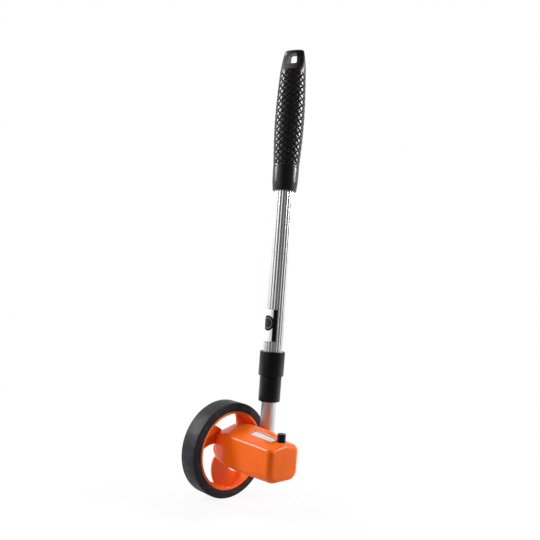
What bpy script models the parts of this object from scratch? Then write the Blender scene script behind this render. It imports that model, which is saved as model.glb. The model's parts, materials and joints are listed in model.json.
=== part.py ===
"""Hand-held measuring wheel: a telescoping handle, a moulded counter housing and a wheel beside it.

The wheel is one foot round. It turns an axle that runs through the housing, and gears at the axle's
end drive a five-digit counter. The handle's three tubes slide in each other and lock by a twist.

The world's origin is the middle of the hand grip, on the axis of the tubes, with +Z up the handle.
The housing, the counter and the wheel are modelled from the axle: the empty named axle_frame stands
where the axle's line meets the plane of the tyre's inner side, with +X out along the axle.
"""

import math

import bmesh
import bpy
from mathutils import Euler, Matrix, Vector

MM = 0.001
TURN = 2.0 * math.pi

# Gaps between pieces
SEAT_GAP = 0.3 * MM
SLIDE_GAP = 0.3 * MM
SHAFT_GAP = 0.15 * MM
CUT_OVERRUN = 2.0 * MM
MERGE_DISTANCE = 0.0001 * MM

# Wheel and tyre, x = 0 on the side that faces the housing
WHEEL_RADIUS = 48.5 * MM
TYRE_WIDTH = 21.5 * MM
TYRE_SHOULDER = 1.2 * MM
TYRE_WALL = 8.2 * MM
RIM_WALL = 2.5 * MM
RIM_RIB_HEIGHT = 1.5 * MM
RIM_RIB_WIDTH = 4.0 * MM
RIM_WEB_WALL = 4.0 * MM
RIM_WEB_FRONT = 8.5 * MM
RIM_WEB_BACK = 18.0 * MM
RIM_WEB_SLOPE = 3.0 * MM
BLADE_COUNT = 3
BLADE_SETBACK = 12.0 * MM
BLADE_THICKNESS = 3.0 * MM
BLADE_ROOT_ANGLE = math.radians(62.8)
BLADE_TIP_ANGLE = math.radians(15.0)
BLADE_ROOT_HALF_ANGLE = math.radians(31.3)
BLADE_TIP_HALF_ANGLE = math.radians(26.6)
HUB_RADIUS = 11.0 * MM
HUB_SETBACK = 10.5 * MM
HUB_LENGTH = 7.5 * MM

# Axle and its fastenings
AXLE_RADIUS = 3.0 * MM
AXLE_FLAT_DEPTH = 0.8 * MM
BUSH_WALL = 1.3 * MM
BUSH_FLANGE_WIDTH = 1.2 * MM
BUSH_FLANGE_THICKNESS = 1.0 * MM
WASHER_THICKNESS = 0.7 * MM
WASHER_WIDTH = 3.4 * MM
WHEEL_SCREW_RADIUS = 1.5 * MM
WHEEL_SCREW_DEPTH = 9.0 * MM
WHEEL_SCREW_HEAD_RADIUS = 4.2 * MM
WHEEL_SCREW_HEAD_HEIGHT = 2.2 * MM
WHEEL_SCREW_SLOT = 0.9 * MM
WHEEL_SCREW_CROSS_SHARE = 0.6
CLIP_THICKNESS = 0.6 * MM
CLIP_WIDTH = 1.4 * MM
CLIP_MOUTH_SHARE = 0.8
BUSH_RADIUS = AXLE_RADIUS + SHAFT_GAP + BUSH_WALL

# Handle: heights are above the axle
TUBE_X = 18.5 * MM
TUBE_Y = 29.5 * MM
HAND_HEIGHT = 345.4 * MM
INNER_TUBE_RADIUS = 7.7 * MM
MIDDLE_TUBE_RADIUS = 8.7 * MM
FLUTE_TIP_RADIUS = 10.0 * MM
FLUTE_DEPTH = 0.45 * MM
FLUTE_COUNT = 24
TUBE_WALL = 0.7 * MM
LOWER_COLLAR_BOTTOM = 52.1 * MM
LOWER_COLLAR_HEIGHT = 26.0 * MM
LOWER_COLLAR_WALL = 2.3 * MM
UPPER_COLLAR_HEIGHT = 25.3 * MM
UPPER_COLLAR_WALL = 2.8 * MM
COLLAR_LIP = 3.0 * MM
COLLAR_CHAMFER = 0.8 * MM
LOCK_SPIGOT = 12.0 * MM
LOCK_FLANGE = 2.0 * MM
LOCK_SLEEVE_HEIGHT = 15.0 * MM
LOCK_SLEEVE_WALL = 3.4 * MM
LOCK_SLIT = 1.5 * MM
LOCK_END_ROOM = 2.0 * MM

# Grip
GRIP_LENGTH = 149.4 * MM
GRIP_MOUTH_RADIUS = 12.3 * MM
GRIP_COLLAR_RADIUS = 13.4 * MM
GRIP_BELLY_RADIUS = 15.2 * MM
GRIP_SHOULDER_RADIUS = 13.4 * MM
GRIP_TIP_HALF_WIDTH = 11.1 * MM
GRIP_TIP_HALF_THICKNESS = 4.6 * MM
GRIP_COLLAR_LENGTH = 25.2 * MM
GRIP_TOP_LENGTH = 23.8 * MM
GRIP_CORNER = 3.2 * MM
GRIP_MOUTH_EDGE = 1.0 * MM
GRIP_TURN = math.radians(24.0)
GRIP_BORE_END = 5.2 * MM
DIAMOND_ROWS = 15
DIAMONDS_AROUND = 10
DIAMOND_HEIGHT = 0.7 * MM
HANG_HOLE_HALF_WIDTH = 6.2 * MM
HANG_HOLE_TOP_HALF_WIDTH = 4.2 * MM
HANG_HOLE_HEIGHT = 12.2 * MM
HANG_HOLE_TOP_MARGIN = 4.5 * MM
HANG_HOLE_CORNER = 1.6 * MM

# Counter housing: x from the tyre's side, y from the axle, z from the axle
HOUSING_END_X = 74.8 * MM
HOUSING_MOUTH_X = -8.0 * MM
HOUSING_WALL = 2.2 * MM
HOUSING_FRONT_Y = -19.1 * MM
HOUSING_BACK_Y = 20.6 * MM
HOUSING_FLOOR_Z = -11.6 * MM
HOUSING_END_FLOOR_Z = -12.8 * MM
HOUSING_EAVE_Z = 20.2 * MM
RIDGE_Y = 11.8 * MM
RIDGE_Z = 29.6 * MM
RIDGE_END_Y = 1.9 * MM
RIDGE_END_Z = 24.2 * MM
RIDGE_FALL_START_X = 37.5 * MM
DOME_START_X = 15.5 * MM
DOME_LENGTH = 40.0 * MM
DOME_CENTRE_Y = -1.2 * MM
DOME_CENTRE_Z = 8.9 * MM
FLOOR_EDGE_RADIUS = 5.0 * MM
EAVE_EDGE_RADIUS = 4.5 * MM
END_FLOOR_FRONT_RADIUS = 11.0 * MM
END_FLOOR_BACK_RADIUS = 10.0 * MM
END_EAVE_BACK_RADIUS = 7.5 * MM
END_EAVE_FRONT_RADIUS = 5.0 * MM
RIDGE_EDGE_RADIUS = 7.0 * MM
END_EDGE_RADIUS = 6.0 * MM
INNER_EDGE_RADIUS = 0.8 * MM

# Cover in the housing's mouth, its posts and screws
COVER_THICKNESS = 2.5 * MM
POST_RADIUS = 3.0 * MM
POST_LENGTH = 12.0 * MM
POST_INSET = 2.8 * MM
POST_WEB_WIDTH = 2.4 * MM
POST_WEB_END_SHARE = 0.75
SCREW_RADIUS = 1.0 * MM
SCREW_HEAD_RADIUS = 1.9 * MM
SCREW_HEAD_HEIGHT = 1.2 * MM
SCREW_LENGTH = 9.0 * MM
SCREW_SLOT_WIDTH = 0.5 * MM
SCREW_SLOT_DEPTH = 0.5 * MM
BOSS_RADIUS = 2.2 * MM

# Socket for the handle's inner tube, on the back of the housing
SOCKET_WALL = 2.2 * MM
SOCKET_TOP_Z = 16.0 * MM
SOCKET_FLOOR_Z = -5.0 * MM
SOCKET_FLOOR_THICKNESS = 3.0 * MM
SOCKET_WEB_WIDTH = 13.0 * MM
SOCKET_WEB_SETBACK = 0.8 * MM
TUBE_SCREW_Z = 7.0 * MM

# Window over the digits
WINDOW_LEFT_X = 28.5 * MM
WINDOW_LENGTH = 32.5 * MM
WINDOW_FRONT_Y = -5.2 * MM
WINDOW_WIDTH = 8.8 * MM
WINDOW_SINK = 0.3 * MM
WINDOW_THICKNESS = 1.0 * MM
WINDOW_LEDGE = 0.9 * MM
MASK_THICKNESS = 0.4 * MM
MASK_SLOT_MARGIN = 0.2 * MM
MASK_EDGE = 0.7 * MM

# Counter
DRUM_Y = 2.0 * MM
DRUM_Z = 14.2 * MM
DRUM_RADIUS = 7.0 * MM
DRUM_COUNT = 5
DRUM_BAND = 3.8 * MM
DRUM_GEAR = 1.5 * MM
DRUM_GAP = 0.5 * MM
DRUM_LEFT_X = 30.0 * MM
DRUM_SHAFT_RADIUS = 1.5 * MM
DRUM_TEETH = 20
CARRY_TEETH = 8
CARRY_MODULE = 0.625 * MM
DRUM_TOOTH_SHARE = 0.9
CARRY_TIP_SHARE = 0.8
CARRY_ROOT_SHARE = 1.1
CARRY_ANGLE = math.radians(-40.0)
CARRY_SHAFT_RADIUS = 1.0 * MM
TRAIN_TEETH = 15
IDLER_TEETH = 10
TRAIN_MODULE = 0.6 * MM
TRAIN_TIP_SHARE = 0.9
TRAIN_ROOT_SHARE = 1.15
TRAIN_GEAR_WIDTH = 1.5 * MM
TRAIN_BACKLASH = 0.1 * MM
IDLER_PIN_RADIUS = 1.0 * MM
FRAME_THICKNESS = 1.4 * MM
FRAME_FRONT_Y = -13.6 * MM
FRAME_BACK_Y = 14.8 * MM
FRAME_BOTTOM_Z = -5.0 * MM
FRAME_TOP_Z = 18.4 * MM
FRAME_CORNER_CUT = 8.0 * MM
FRAME_SCREW_Z = 0.0
FRAME_SCREW_INSET = 8.0 * MM
TAB_MARGIN = 2.2 * MM

# Reset button and the rocker that it presses
BUTTON_X = 66.5 * MM
BUTTON_Y = 2.4 * MM
BUTTON_RADIUS = 4.1 * MM
BUTTON_TOP_Z = 31.7 * MM
BUTTON_CHAMFER = 0.5 * MM
BUTTON_CLIP_WIDTH = 1.3 * MM
BUTTON_STEM_RADIUS = 1.7 * MM
BUTTON_SHOULDER_Z = 18.0 * MM
SPRING_SEAT_Z = 10.0 * MM
SPRING_WIRE_RADIUS = 0.25 * MM
SPRING_COILS = 4
ROCKER_Y = -11.0 * MM
ROCKER_Z = 3.0 * MM
ROCKER_SHAFT_RADIUS = 1.2 * MM
ROCKER_BARREL_RADIUS = 2.2 * MM
ROCKER_ARM_WIDTH = 3.6 * MM
ROCKER_ARM_TOP_Z = 5.6 * MM
ROCKER_ARM_THICKNESS = 2.0 * MM
ROCKER_ARM_REACH = 2.2 * MM
FINGER_HEIGHT = 9.5 * MM
FINGER_THICKNESS = 1.6 * MM
FINGER_WIDTH_SHARE = 0.5

# Facets
ROUND_STEPS = 24
INNER_STEPS = 14
SMALL_STEPS = 10
WHEEL_STEPS = 48
CORNER_STEPS = 4
WINDOW_STEPS = 6
FALL_STEPS = 5
EDGE_STEPS = 4
GRIP_EDGE_STEPS = 2
WIRE_STEPS = 6
SMOOTH_ANGLE = math.radians(35.0)

# How a turned or extruded piece lies: its own +Z goes to the world's Z, X, Y or -Y
ALONG_Z = (0.0, 0.0, 0.0)
ALONG_X = (math.pi / 2.0, 0.0, math.pi / 2.0)
ALONG_Y = (-math.pi / 2.0, 0.0, 0.0)
AGAINST_Y = (math.pi / 2.0, 0.0, 0.0)


for old in list(bpy.data.objects):
    bpy.data.objects.remove(old, do_unlink=True)


def finish_material(name, colour, roughness, metallic=0.0):
    """A Principled material of one colour."""
    material = bpy.data.materials.new(name)
    material.use_nodes = True
    shader = material.node_tree.nodes["Principled BSDF"]
    shader.inputs["Base Color"].default_value = (*colour, 1.0)
    shader.inputs["Roughness"].default_value = roughness
    shader.inputs["Metallic"].default_value = metallic
    return material


ORANGE_PLASTIC = finish_material("orange_plastic", (0.84, 0.16, 0.03), 0.35)
BLACK_PLASTIC = finish_material("black_plastic", (0.02, 0.02, 0.022), 0.45)
GRIP_RUBBER = finish_material("grip_rubber", (0.018, 0.018, 0.02), 0.55)
TYRE_RUBBER = finish_material("tyre_rubber", (0.05, 0.05, 0.055), 0.6)
ALUMINIUM = finish_material("aluminium", (0.78, 0.78, 0.8), 0.25, 1.0)
STEEL = finish_material("steel", (0.6, 0.6, 0.62), 0.3, 1.0)
WHITE_PLASTIC = finish_material("white_plastic", (0.85, 0.85, 0.83), 0.4)
CLEAR_PLASTIC = finish_material("clear_plastic", (0.9, 0.93, 0.95), 0.05)
BRASS = finish_material("brass", (0.7, 0.5, 0.2), 0.35, 1.0)


def add_empty(name, place, parent=None):
    """An empty that carries the pieces of one axis."""
    empty = bpy.data.objects.new(name, None)
    empty.location = place
    empty.parent = parent
    bpy.context.scene.collection.objects.link(empty)
    return empty


def add_piece(name, bm, material, parent, place=(0.0, 0.0, 0.0), turn=ALONG_Z):
    """A mesh object with its faces outwards, smooth but for its sharp edges."""
    bmesh.ops.recalc_face_normals(bm, faces=bm.faces)
    mesh = bpy.data.meshes.new(name)
    bm.to_mesh(mesh)
    bm.free()
    mesh.materials.append(material)
    mesh.shade_smooth()
    mesh.set_sharp_from_angle(angle=SMOOTH_ANGLE)
    piece = bpy.data.objects.new(name, mesh)
    piece.location = place
    piece.rotation_euler = turn
    piece.parent = parent
    bpy.context.scene.collection.objects.link(piece)
    return piece


def placed(bm, place=(0.0, 0.0, 0.0), turn=ALONG_Z):
    """Move and turn a body within the piece that it is joined to or cut from."""
    matrix = Matrix.LocRotScale(Vector(place), Euler(turn), None)
    bmesh.ops.transform(bm, matrix=matrix, verts=bm.verts)
    return bm


def work(piece, operation, bodies):
    """Join bodies to a piece, or cut them from it, in one step; they mustn't meet each other."""
    bm = bmesh.new()
    body_mesh = bpy.data.meshes.new("body")
    for body in bodies:
        bmesh.ops.recalc_face_normals(body, faces=body.faces)
        body.to_mesh(body_mesh)
        body.free()
        bm.from_mesh(body_mesh)
    tool = add_piece(f"{piece.name}_{operation.lower()}", bm, piece.data.materials[0], piece.parent,
                     piece.location, piece.rotation_euler)
    tool.hide_render = True
    tool.display_type = "WIRE"
    if piece.modifiers:
        piece.modifiers.new("triangles", "TRIANGULATE")
    modifier = piece.modifiers.new(operation.lower(), "BOOLEAN")
    modifier.operation = operation
    modifier.object = tool
    modifier.solver = "EXACT"


def cut(piece, *bodies):
    work(piece, "DIFFERENCE", bodies)


def join(piece, *bodies):
    work(piece, "UNION", bodies)


def lathe(profile, steps=ROUND_STEPS):
    """Spin (radius, height) points about Z; a profile that leaves the axis open is closed on itself."""
    bm = bmesh.new()
    verts = [bm.verts.new((radius, 0.0, height)) for radius, height in profile]
    edges = [bm.edges.new(pair) for pair in zip(verts, verts[1:])]
    if profile[0][0] > 0.0:
        edges.append(bm.edges.new((verts[-1], verts[0])))
    bmesh.ops.spin(
        bm, geom=verts + edges, cent=(0.0, 0.0, 0.0), axis=(0.0, 0.0, 1.0),
        angle=TURN, steps=steps, use_merge=True,
    )
    bmesh.ops.remove_doubles(bm, verts=bm.verts, dist=MERGE_DISTANCE)
    return bm


def loft(rings, closed=False):
    """Skin rings of equally many points; the ends are capped unless the rings close on themselves."""
    bm = bmesh.new()
    loops = [[bm.verts.new(point) for point in ring] for ring in rings]
    pairs = list(zip(loops, loops[1:]))
    if closed:
        pairs.append((loops[-1], loops[0]))
    count = len(loops[0])
    for low, high in pairs:
        for i in range(count):
            j = (i + 1) % count
            bm.faces.new((low[i], low[j], high[j], high[i]))
    if not closed:
        bm.faces.new(loops[0])
        bm.faces.new(loops[-1])
    return bm


def at_height(outline, height):
    return [Vector((u, v, height)) for u, v in outline]


def prism(outline, low, high):
    """An outline in its own XY plane, extruded from one height to another."""
    return loft([at_height(outline, low), at_height(outline, high)])


def rod(radius, low, high, steps=ROUND_STEPS):
    return lathe([(0.0, low), (radius, low), (radius, high), (0.0, high)], steps)


def tube(radius, bore, low, high, steps=ROUND_STEPS):
    return lathe([(bore, low), (radius, low), (radius, high), (bore, high)], steps)


def box_outline(u_low, u_high, v_low, v_high):
    return [(u_low, v_low), (u_high, v_low), (u_high, v_high), (u_low, v_high)]


def circle(radius, count, start=0.0):
    angles = [start + TURN * i / count for i in range(count)]
    return [(radius * math.cos(a), radius * math.sin(a)) for a in angles]


def inset_corners(corners, inset):
    """Move the sides of a convex outline, given anticlockwise, inwards by the same distance."""
    moved = []
    count = len(corners)
    for i in range(count):
        before = Vector(corners[i - 1])
        here = Vector(corners[i])
        after = Vector(corners[(i + 1) % count])
        side_in = (here - before).normalized()
        side_out = (after - here).normalized()
        normal_in = Vector((-side_in.y, side_in.x))
        normal_out = Vector((-side_out.y, side_out.x))
        middle = normal_in + normal_out
        moved.append(here + middle * (inset / middle.dot(normal_in)))
    return moved


def round_corners(corners, radii, steps=CORNER_STEPS):
    """Replace each corner of a convex outline, given anticlockwise, by an arc of its own radius."""
    outline = []
    count = len(corners)
    for i in range(count):
        here = Vector(corners[i])
        back = (Vector(corners[i - 1]) - here).normalized()
        ahead = (Vector(corners[(i + 1) % count]) - here).normalized()
        half = back.angle(ahead) / 2.0
        centre = here + (back + ahead).normalized() * (radii[i] / math.sin(half))
        start = here + back * (radii[i] / math.tan(half)) - centre
        sweep = math.pi - 2.0 * half
        for k in range(steps + 1):
            turn = sweep * k / steps
            arm = Vector((
                start.x * math.cos(turn) - start.y * math.sin(turn),
                start.x * math.sin(turn) + start.y * math.cos(turn),
            ))
            outline.append(centre + arm)
    return outline


# Empties: the axle's frame, and the axis of the handle's tubes within it
axle_frame = add_empty("axle_frame", (-TUBE_X, -TUBE_Y, -HAND_HEIGHT))
tube_axis = add_empty("tube_axis", (TUBE_X, TUBE_Y, 0.0), axle_frame)
counter_axis = add_empty("counter_axis", (0.0, DRUM_Y, DRUM_Z), axle_frame)


# Tyre and rim
TYRE_INNER_RADIUS = WHEEL_RADIUS - TYRE_WALL
RIM_RADIUS = TYRE_INNER_RADIUS - SEAT_GAP
RIM_BORE = RIM_RADIUS - RIM_WALL
WEB_BORE = RIM_RADIUS - RIM_WEB_WALL
RIB_MIDDLE = -TYRE_WIDTH / 2.0
HUB_BACK = -HUB_SETBACK - HUB_LENGTH


def add_tyre():
    """A plain rubber ring whose groove sits over the rim's rib."""
    half_groove = RIM_RIB_WIDTH / 2.0 + SEAT_GAP
    groove = TYRE_INNER_RADIUS + RIM_RIB_HEIGHT
    tread = WHEEL_RADIUS
    shoulder = WHEEL_RADIUS - TYRE_SHOULDER
    profile = [
        (TYRE_INNER_RADIUS, -TYRE_WIDTH),
        (shoulder, -TYRE_WIDTH),
        (tread, -TYRE_WIDTH + TYRE_SHOULDER),
        (tread, -TYRE_SHOULDER),
        (shoulder, 0.0),
        (TYRE_INNER_RADIUS, 0.0),
        (TYRE_INNER_RADIUS, RIB_MIDDLE + half_groove),
        (groove, RIB_MIDDLE + half_groove),
        (groove, RIB_MIDDLE - half_groove),
        (TYRE_INNER_RADIUS, RIB_MIDDLE - half_groove),
    ]
    return add_piece("tyre", lathe(profile, WHEEL_STEPS), TYRE_RUBBER, axle_frame, turn=ALONG_X)


def blade_outline(middle):
    """A fan blade that sweeps back as it leaves the hub; its angles run evenly with the radius."""
    root = HUB_RADIUS - RIM_WALL
    tip = (RIM_RADIUS + WEB_BORE) / 2.0
    count = 2 * CORNER_STEPS

    def edge(side):
        points = []
        for k in range(count + 1):
            share = k / count
            radius = root + (tip - root) * share
            centre = BLADE_ROOT_ANGLE + (BLADE_TIP_ANGLE - BLADE_ROOT_ANGLE) * share
            half = BLADE_ROOT_HALF_ANGLE + (BLADE_TIP_HALF_ANGLE - BLADE_ROOT_HALF_ANGLE) * share
            angle = math.pi - middle - centre - side * half
            points.append((radius * math.cos(angle), radius * math.sin(angle)))
        return points

    return edge(-1.0) + edge(1.0)[::-1]


def axle_ring(radius, flat_depth, height):
    """A round section, or one with a flat on its top side."""
    flat = radius - flat_depth
    return [Vector((u, min(v, flat), height)) for u, v in circle(radius, ROUND_STEPS)]


def add_rim():
    """One moulding: a rim with a rib outside and a thick web inside, three swept blades and a hub."""
    half_rib = RIM_RIB_WIDTH / 2.0
    rib = RIM_RADIUS + RIM_RIB_HEIGHT
    profile = [
        (RIM_BORE, -TYRE_WIDTH),
        (RIM_RADIUS, -TYRE_WIDTH),
        (RIM_RADIUS, RIB_MIDDLE - half_rib),
        (rib, RIB_MIDDLE - half_rib),
        (rib, RIB_MIDDLE + half_rib),
        (RIM_RADIUS, RIB_MIDDLE + half_rib),
        (RIM_RADIUS, 0.0),
        (RIM_BORE, 0.0),
        (RIM_BORE, -RIM_WEB_FRONT),
        (WEB_BORE, -RIM_WEB_FRONT - RIM_WEB_SLOPE),
        (WEB_BORE, -RIM_WEB_BACK + RIM_WEB_SLOPE),
        (RIM_BORE, -RIM_WEB_BACK),
    ]
    rim = add_piece("wheel_rim", lathe(profile, WHEEL_STEPS), ORANGE_PLASTIC, axle_frame, turn=ALONG_X)
    back = -BLADE_SETBACK - BLADE_THICKNESS
    middles = [TURN * i / BLADE_COUNT for i in range(BLADE_COUNT)]
    join(rim, *[prism(blade_outline(middle), back, -BLADE_SETBACK) for middle in middles])
    join(rim, rod(HUB_RADIUS, HUB_BACK, -HUB_SETBACK))
    bore_radius = AXLE_RADIUS + SHAFT_GAP
    ends = (HUB_BACK - CUT_OVERRUN, -HUB_SETBACK + CUT_OVERRUN)
    cut(rim, loft([axle_ring(bore_radius, AXLE_FLAT_DEPTH, height) for height in ends]))
    return rim


# Housing: a section across the axle, its corners anticlockwise seen from +X
def fall_share(x):
    """How far the section at x has gone over from the one under the digits to the outer end's."""
    share = (x - RIDGE_FALL_START_X) / (HOUSING_END_X - RIDGE_FALL_START_X)
    share = min(max(share, 0.0), 1.0)
    return share * share * (3.0 - 2.0 * share)


def ridge_at(x):
    """The roof's ridge is level over the digits and falls smoothly to the outer end."""
    share = fall_share(x)
    return RIDGE_Y + (RIDGE_END_Y - RIDGE_Y) * share, RIDGE_Z + (RIDGE_END_Z - RIDGE_Z) * share


def dome_scale(x):
    """The end by the wheel draws in on an ellipse."""
    depth = max(DOME_START_X - x, 0.0) / DOME_LENGTH
    return math.sqrt(1.0 - depth * depth)


def section_corners(x):
    """The section's five corners: the floor's, which drop a little to the outer end, the back eave, the ridge
    and the front eave."""
    scale = dome_scale(x)
    ridge_y, ridge_z = ridge_at(x)
    floor_z = HOUSING_FLOOR_Z + (HOUSING_END_FLOOR_Z - HOUSING_FLOOR_Z) * fall_share(x)
    corners = [
        (HOUSING_FRONT_Y, floor_z),
        (HOUSING_BACK_Y, floor_z),
        (HOUSING_BACK_Y, HOUSING_EAVE_Z),
        (ridge_y, ridge_z),
        (HOUSING_FRONT_Y, HOUSING_EAVE_Z),
    ]
    centre = Vector((DOME_CENTRE_Y, DOME_CENTRE_Z))
    return [centre + (Vector(corner) - centre) * scale for corner in corners], scale


def housing_ring(x, inset=0.0):
    """The housing's outline at x, moved inwards by inset; its edges get rounder towards the outer end."""
    corners, scale = section_corners(x)
    pairs = [
        (FLOOR_EDGE_RADIUS, END_FLOOR_FRONT_RADIUS),
        (FLOOR_EDGE_RADIUS, END_FLOOR_BACK_RADIUS),
        (EAVE_EDGE_RADIUS, END_EAVE_BACK_RADIUS),
        (RIDGE_EDGE_RADIUS, RIDGE_EDGE_RADIUS),
        (EAVE_EDGE_RADIUS, END_EAVE_FRONT_RADIUS),
    ]
    share = fall_share(x)
    radii = [(start + (end - start) * share) * scale - inset for start, end in pairs]
    radii = [max(radius, INNER_EDGE_RADIUS) for radius in radii]
    outline = round_corners(inset_corners(corners, inset), radii)
    return [Vector((x, y, z)) for y, z in outline]


def roof_at(x, y, sink=0.0):
    """The height of the roof, or of a surface that lies a depth of sink below it."""
    outline = housing_ring(x)
    heights = []
    for here, after in zip(outline, outline[1:] + outline[:1]):
        if min(here.y, after.y) <= y <= max(here.y, after.y) and here.y != after.y:
            share = (y - here.y) / (after.y - here.y)
            heights.append(here.z + (after.z - here.z) * share)
    return max(heights) - sink


def spread(start, end, count):
    return [start + (end - start) * i / count for i in range(count + 1)]


POST_SEAT_X = HOUSING_MOUTH_X + COVER_THICKNESS + SEAT_GAP
COVER_BACK_X = HOUSING_MOUTH_X + COVER_THICKNESS


def eave_and_floor_corners(x, inset):
    """The section's two floor corners, its back eave and its front eave, moved inwards."""
    corners, scale = section_corners(x)
    corners = inset_corners(corners, inset)
    return [corners[0], corners[1], corners[2], corners[4]]


def post_places():
    """The four screw posts stand inside the corners of the housing's mouth."""
    return eave_and_floor_corners(HOUSING_MOUTH_X, HOUSING_WALL + POST_INSET)


def post_web(number, start, end):
    """A web from a post to the corner behind it, which draws away as the section grows."""
    rings = []
    for x in (start, end):
        post = post_places()[number]
        corner = eave_and_floor_corners(x, HOUSING_WALL * POST_WEB_END_SHARE)[number]
        along = (corner - post).normalized()
        side = Vector((-along.y, along.x)) * (POST_WEB_WIDTH / 2.0)
        rings.append([
            Vector((x, p.x, p.y)) for p in (post - side, corner - side, corner + side, post + side)
        ])
    return loft(rings)


WINDOW_RIGHT_X = WINDOW_LEFT_X + WINDOW_LENGTH
WINDOW_BACK_Y = WINDOW_FRONT_Y + WINDOW_WIDTH


def window_ring(grow, sink):
    """The window's outline, grown on its four sides, at a depth below the roof's front slope."""
    inner = spread(WINDOW_LEFT_X, WINDOW_RIGHT_X, WINDOW_STEPS)[1:-1]
    xs = [WINDOW_LEFT_X - grow, *inner, WINDOW_RIGHT_X + grow]
    front = [(x, WINDOW_FRONT_Y - grow) for x in xs]
    back = [(x, WINDOW_BACK_Y + grow) for x in xs[::-1]]
    return [Vector((x, y, roof_at(x, y, sink))) for x, y in front + back]


def window_void():
    """What the window takes out of the roof: the lens's seat, and a smaller opening under it."""
    seat = WINDOW_SINK + WINDOW_THICKNESS + SEAT_GAP
    return loft([
        window_ring(-WINDOW_LEDGE, HOUSING_WALL + CUT_OVERRUN),
        window_ring(-WINDOW_LEDGE, seat),
        window_ring(SEAT_GAP, seat),
        window_ring(SEAT_GAP, -CUT_OVERRUN),
    ])


def add_housing():
    """The moulded shell: open at the wheel's end, with posts, a socket for the handle and its openings."""
    domed = spread(HOUSING_MOUTH_X, DOME_START_X, CORNER_STEPS)
    outer = [housing_ring(x) for x in domed]
    outer += [housing_ring(x) for x in spread(RIDGE_FALL_START_X, HOUSING_END_X - END_EDGE_RADIUS, FALL_STEPS)]
    inner_xs = domed + spread(RIDGE_FALL_START_X, HOUSING_END_X - END_EDGE_RADIUS, FALL_STEPS)
    inner = [housing_ring(x, HOUSING_WALL) for x in inner_xs]
    for rings, radius in ((outer, END_EDGE_RADIUS), (inner, END_EDGE_RADIUS - HOUSING_WALL)):
        for k in range(1, EDGE_STEPS + 1):
            angle = math.pi / 2.0 * k / EDGE_STEPS
            x = HOUSING_END_X - END_EDGE_RADIUS + radius * math.sin(angle)
            rings.append(housing_ring(x, END_EDGE_RADIUS - radius * math.cos(angle)))
    shell = add_piece("housing_shell", loft(inner[::-1] + outer), ORANGE_PLASTIC, axle_frame)

    handle = (TUBE_X, TUBE_Y, 0.0)
    socket_radius = INNER_TUBE_RADIUS + SEAT_GAP + SOCKET_WALL
    socket_bottom = SOCKET_FLOOR_Z - SOCKET_FLOOR_THICKNESS
    half_web = SOCKET_WEB_WIDTH / 2.0
    wall_middle_y = HOUSING_BACK_Y - HOUSING_WALL / 2.0
    web = box_outline(TUBE_X - half_web, TUBE_X + half_web, wall_middle_y, TUBE_Y)
    post_end = POST_SEAT_X + POST_LENGTH
    posts = [(0.0, post.x, post.y) for post in post_places()]
    bosses = [(x, 0.0, FRAME_SCREW_Z) for x in frame_screw_places()]
    join(
        shell,
        placed(rod(socket_radius, socket_bottom, SOCKET_TOP_Z), handle),
        *[placed(rod(POST_RADIUS, POST_SEAT_X, post_end, SMALL_STEPS), at, ALONG_X) for at in posts],
        *[placed(rod(BOSS_RADIUS, FRAME_BACK_Y + SEAT_GAP, wall_middle_y, SMALL_STEPS), at, ALONG_Y)
          for at in bosses],
    )
    join(
        shell,
        prism(web, socket_bottom + SOCKET_WEB_SETBACK, SOCKET_TOP_Z - SOCKET_WEB_SETBACK),
        *[post_web(i, POST_SEAT_X + SEAT_GAP, post_end - SEAT_GAP) for i in range(len(posts))],
    )

    hole = SCREW_RADIUS + SHAFT_GAP
    post_hole_end = HOUSING_MOUTH_X + SCREW_HEAD_HEIGHT + SCREW_LENGTH + SEAT_GAP
    cut(
        shell,
        placed(rod(INNER_TUBE_RADIUS + SEAT_GAP, SOCKET_FLOOR_Z, SOCKET_TOP_Z + CUT_OVERRUN), handle),
        *[placed(rod(hole, HOUSING_MOUTH_X, post_hole_end, SMALL_STEPS), at, ALONG_X) for at in posts],
        *[placed(rod(hole, FRAME_BACK_Y, frame_screw_tip() + SEAT_GAP, SMALL_STEPS), at, ALONG_Y)
          for at in bosses],
        window_void(),
        placed(rod(BUTTON_RADIUS + SLIDE_GAP, BUTTON_SHOULDER_Z, BUTTON_TOP_Z), (BUTTON_X, BUTTON_Y, 0.0)),
    )
    socket_hole = rod(hole, 0.0, socket_radius + CUT_OVERRUN, SMALL_STEPS)
    cut(shell, placed(socket_hole, (TUBE_X, TUBE_Y, TUBE_SCREW_Z), ALONG_Y))
    return shell


def roof_plate(inset, sink, thickness):
    """A plate in the window that follows the roof, at a depth below it."""
    ys = spread(WINDOW_FRONT_Y + inset, WINDOW_BACK_Y - inset, CORNER_STEPS)
    rings = []
    for x in spread(WINDOW_LEFT_X + inset, WINDOW_RIGHT_X - inset, WINDOW_STEPS):
        under = [Vector((x, y, roof_at(x, y, sink + thickness))) for y in ys]
        over = [Vector((x, y, roof_at(x, y, sink))) for y in ys[::-1]]
        rings.append(under + over)
    return loft(rings)


def add_window():
    """A clear lens let into the roof over the digits, and under it a mask that leaves one digit of each drum."""
    add_piece("window_lens", roof_plate(0.0, WINDOW_SINK, WINDOW_THICKNESS), CLEAR_PLASTIC, axle_frame)
    inset = WINDOW_LEDGE + SEAT_GAP
    sink = WINDOW_SINK + WINDOW_THICKNESS + SEAT_GAP
    mask = add_piece("window_mask", roof_plate(inset, sink, MASK_THICKNESS), WHITE_PLASTIC, axle_frame)
    front = WINDOW_FRONT_Y + inset + MASK_EDGE
    back = WINDOW_BACK_Y - inset - MASK_EDGE
    slots = []
    for number in range(1, DRUM_COUNT + 1):
        left = drum_left(number)
        slot = box_outline(left + MASK_SLOT_MARGIN, left + DRUM_BAND - MASK_SLOT_MARGIN, front, back)
        slots.append(prism(slot, DRUM_Z, RIDGE_Z))
    cut(mask, *slots)


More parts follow.
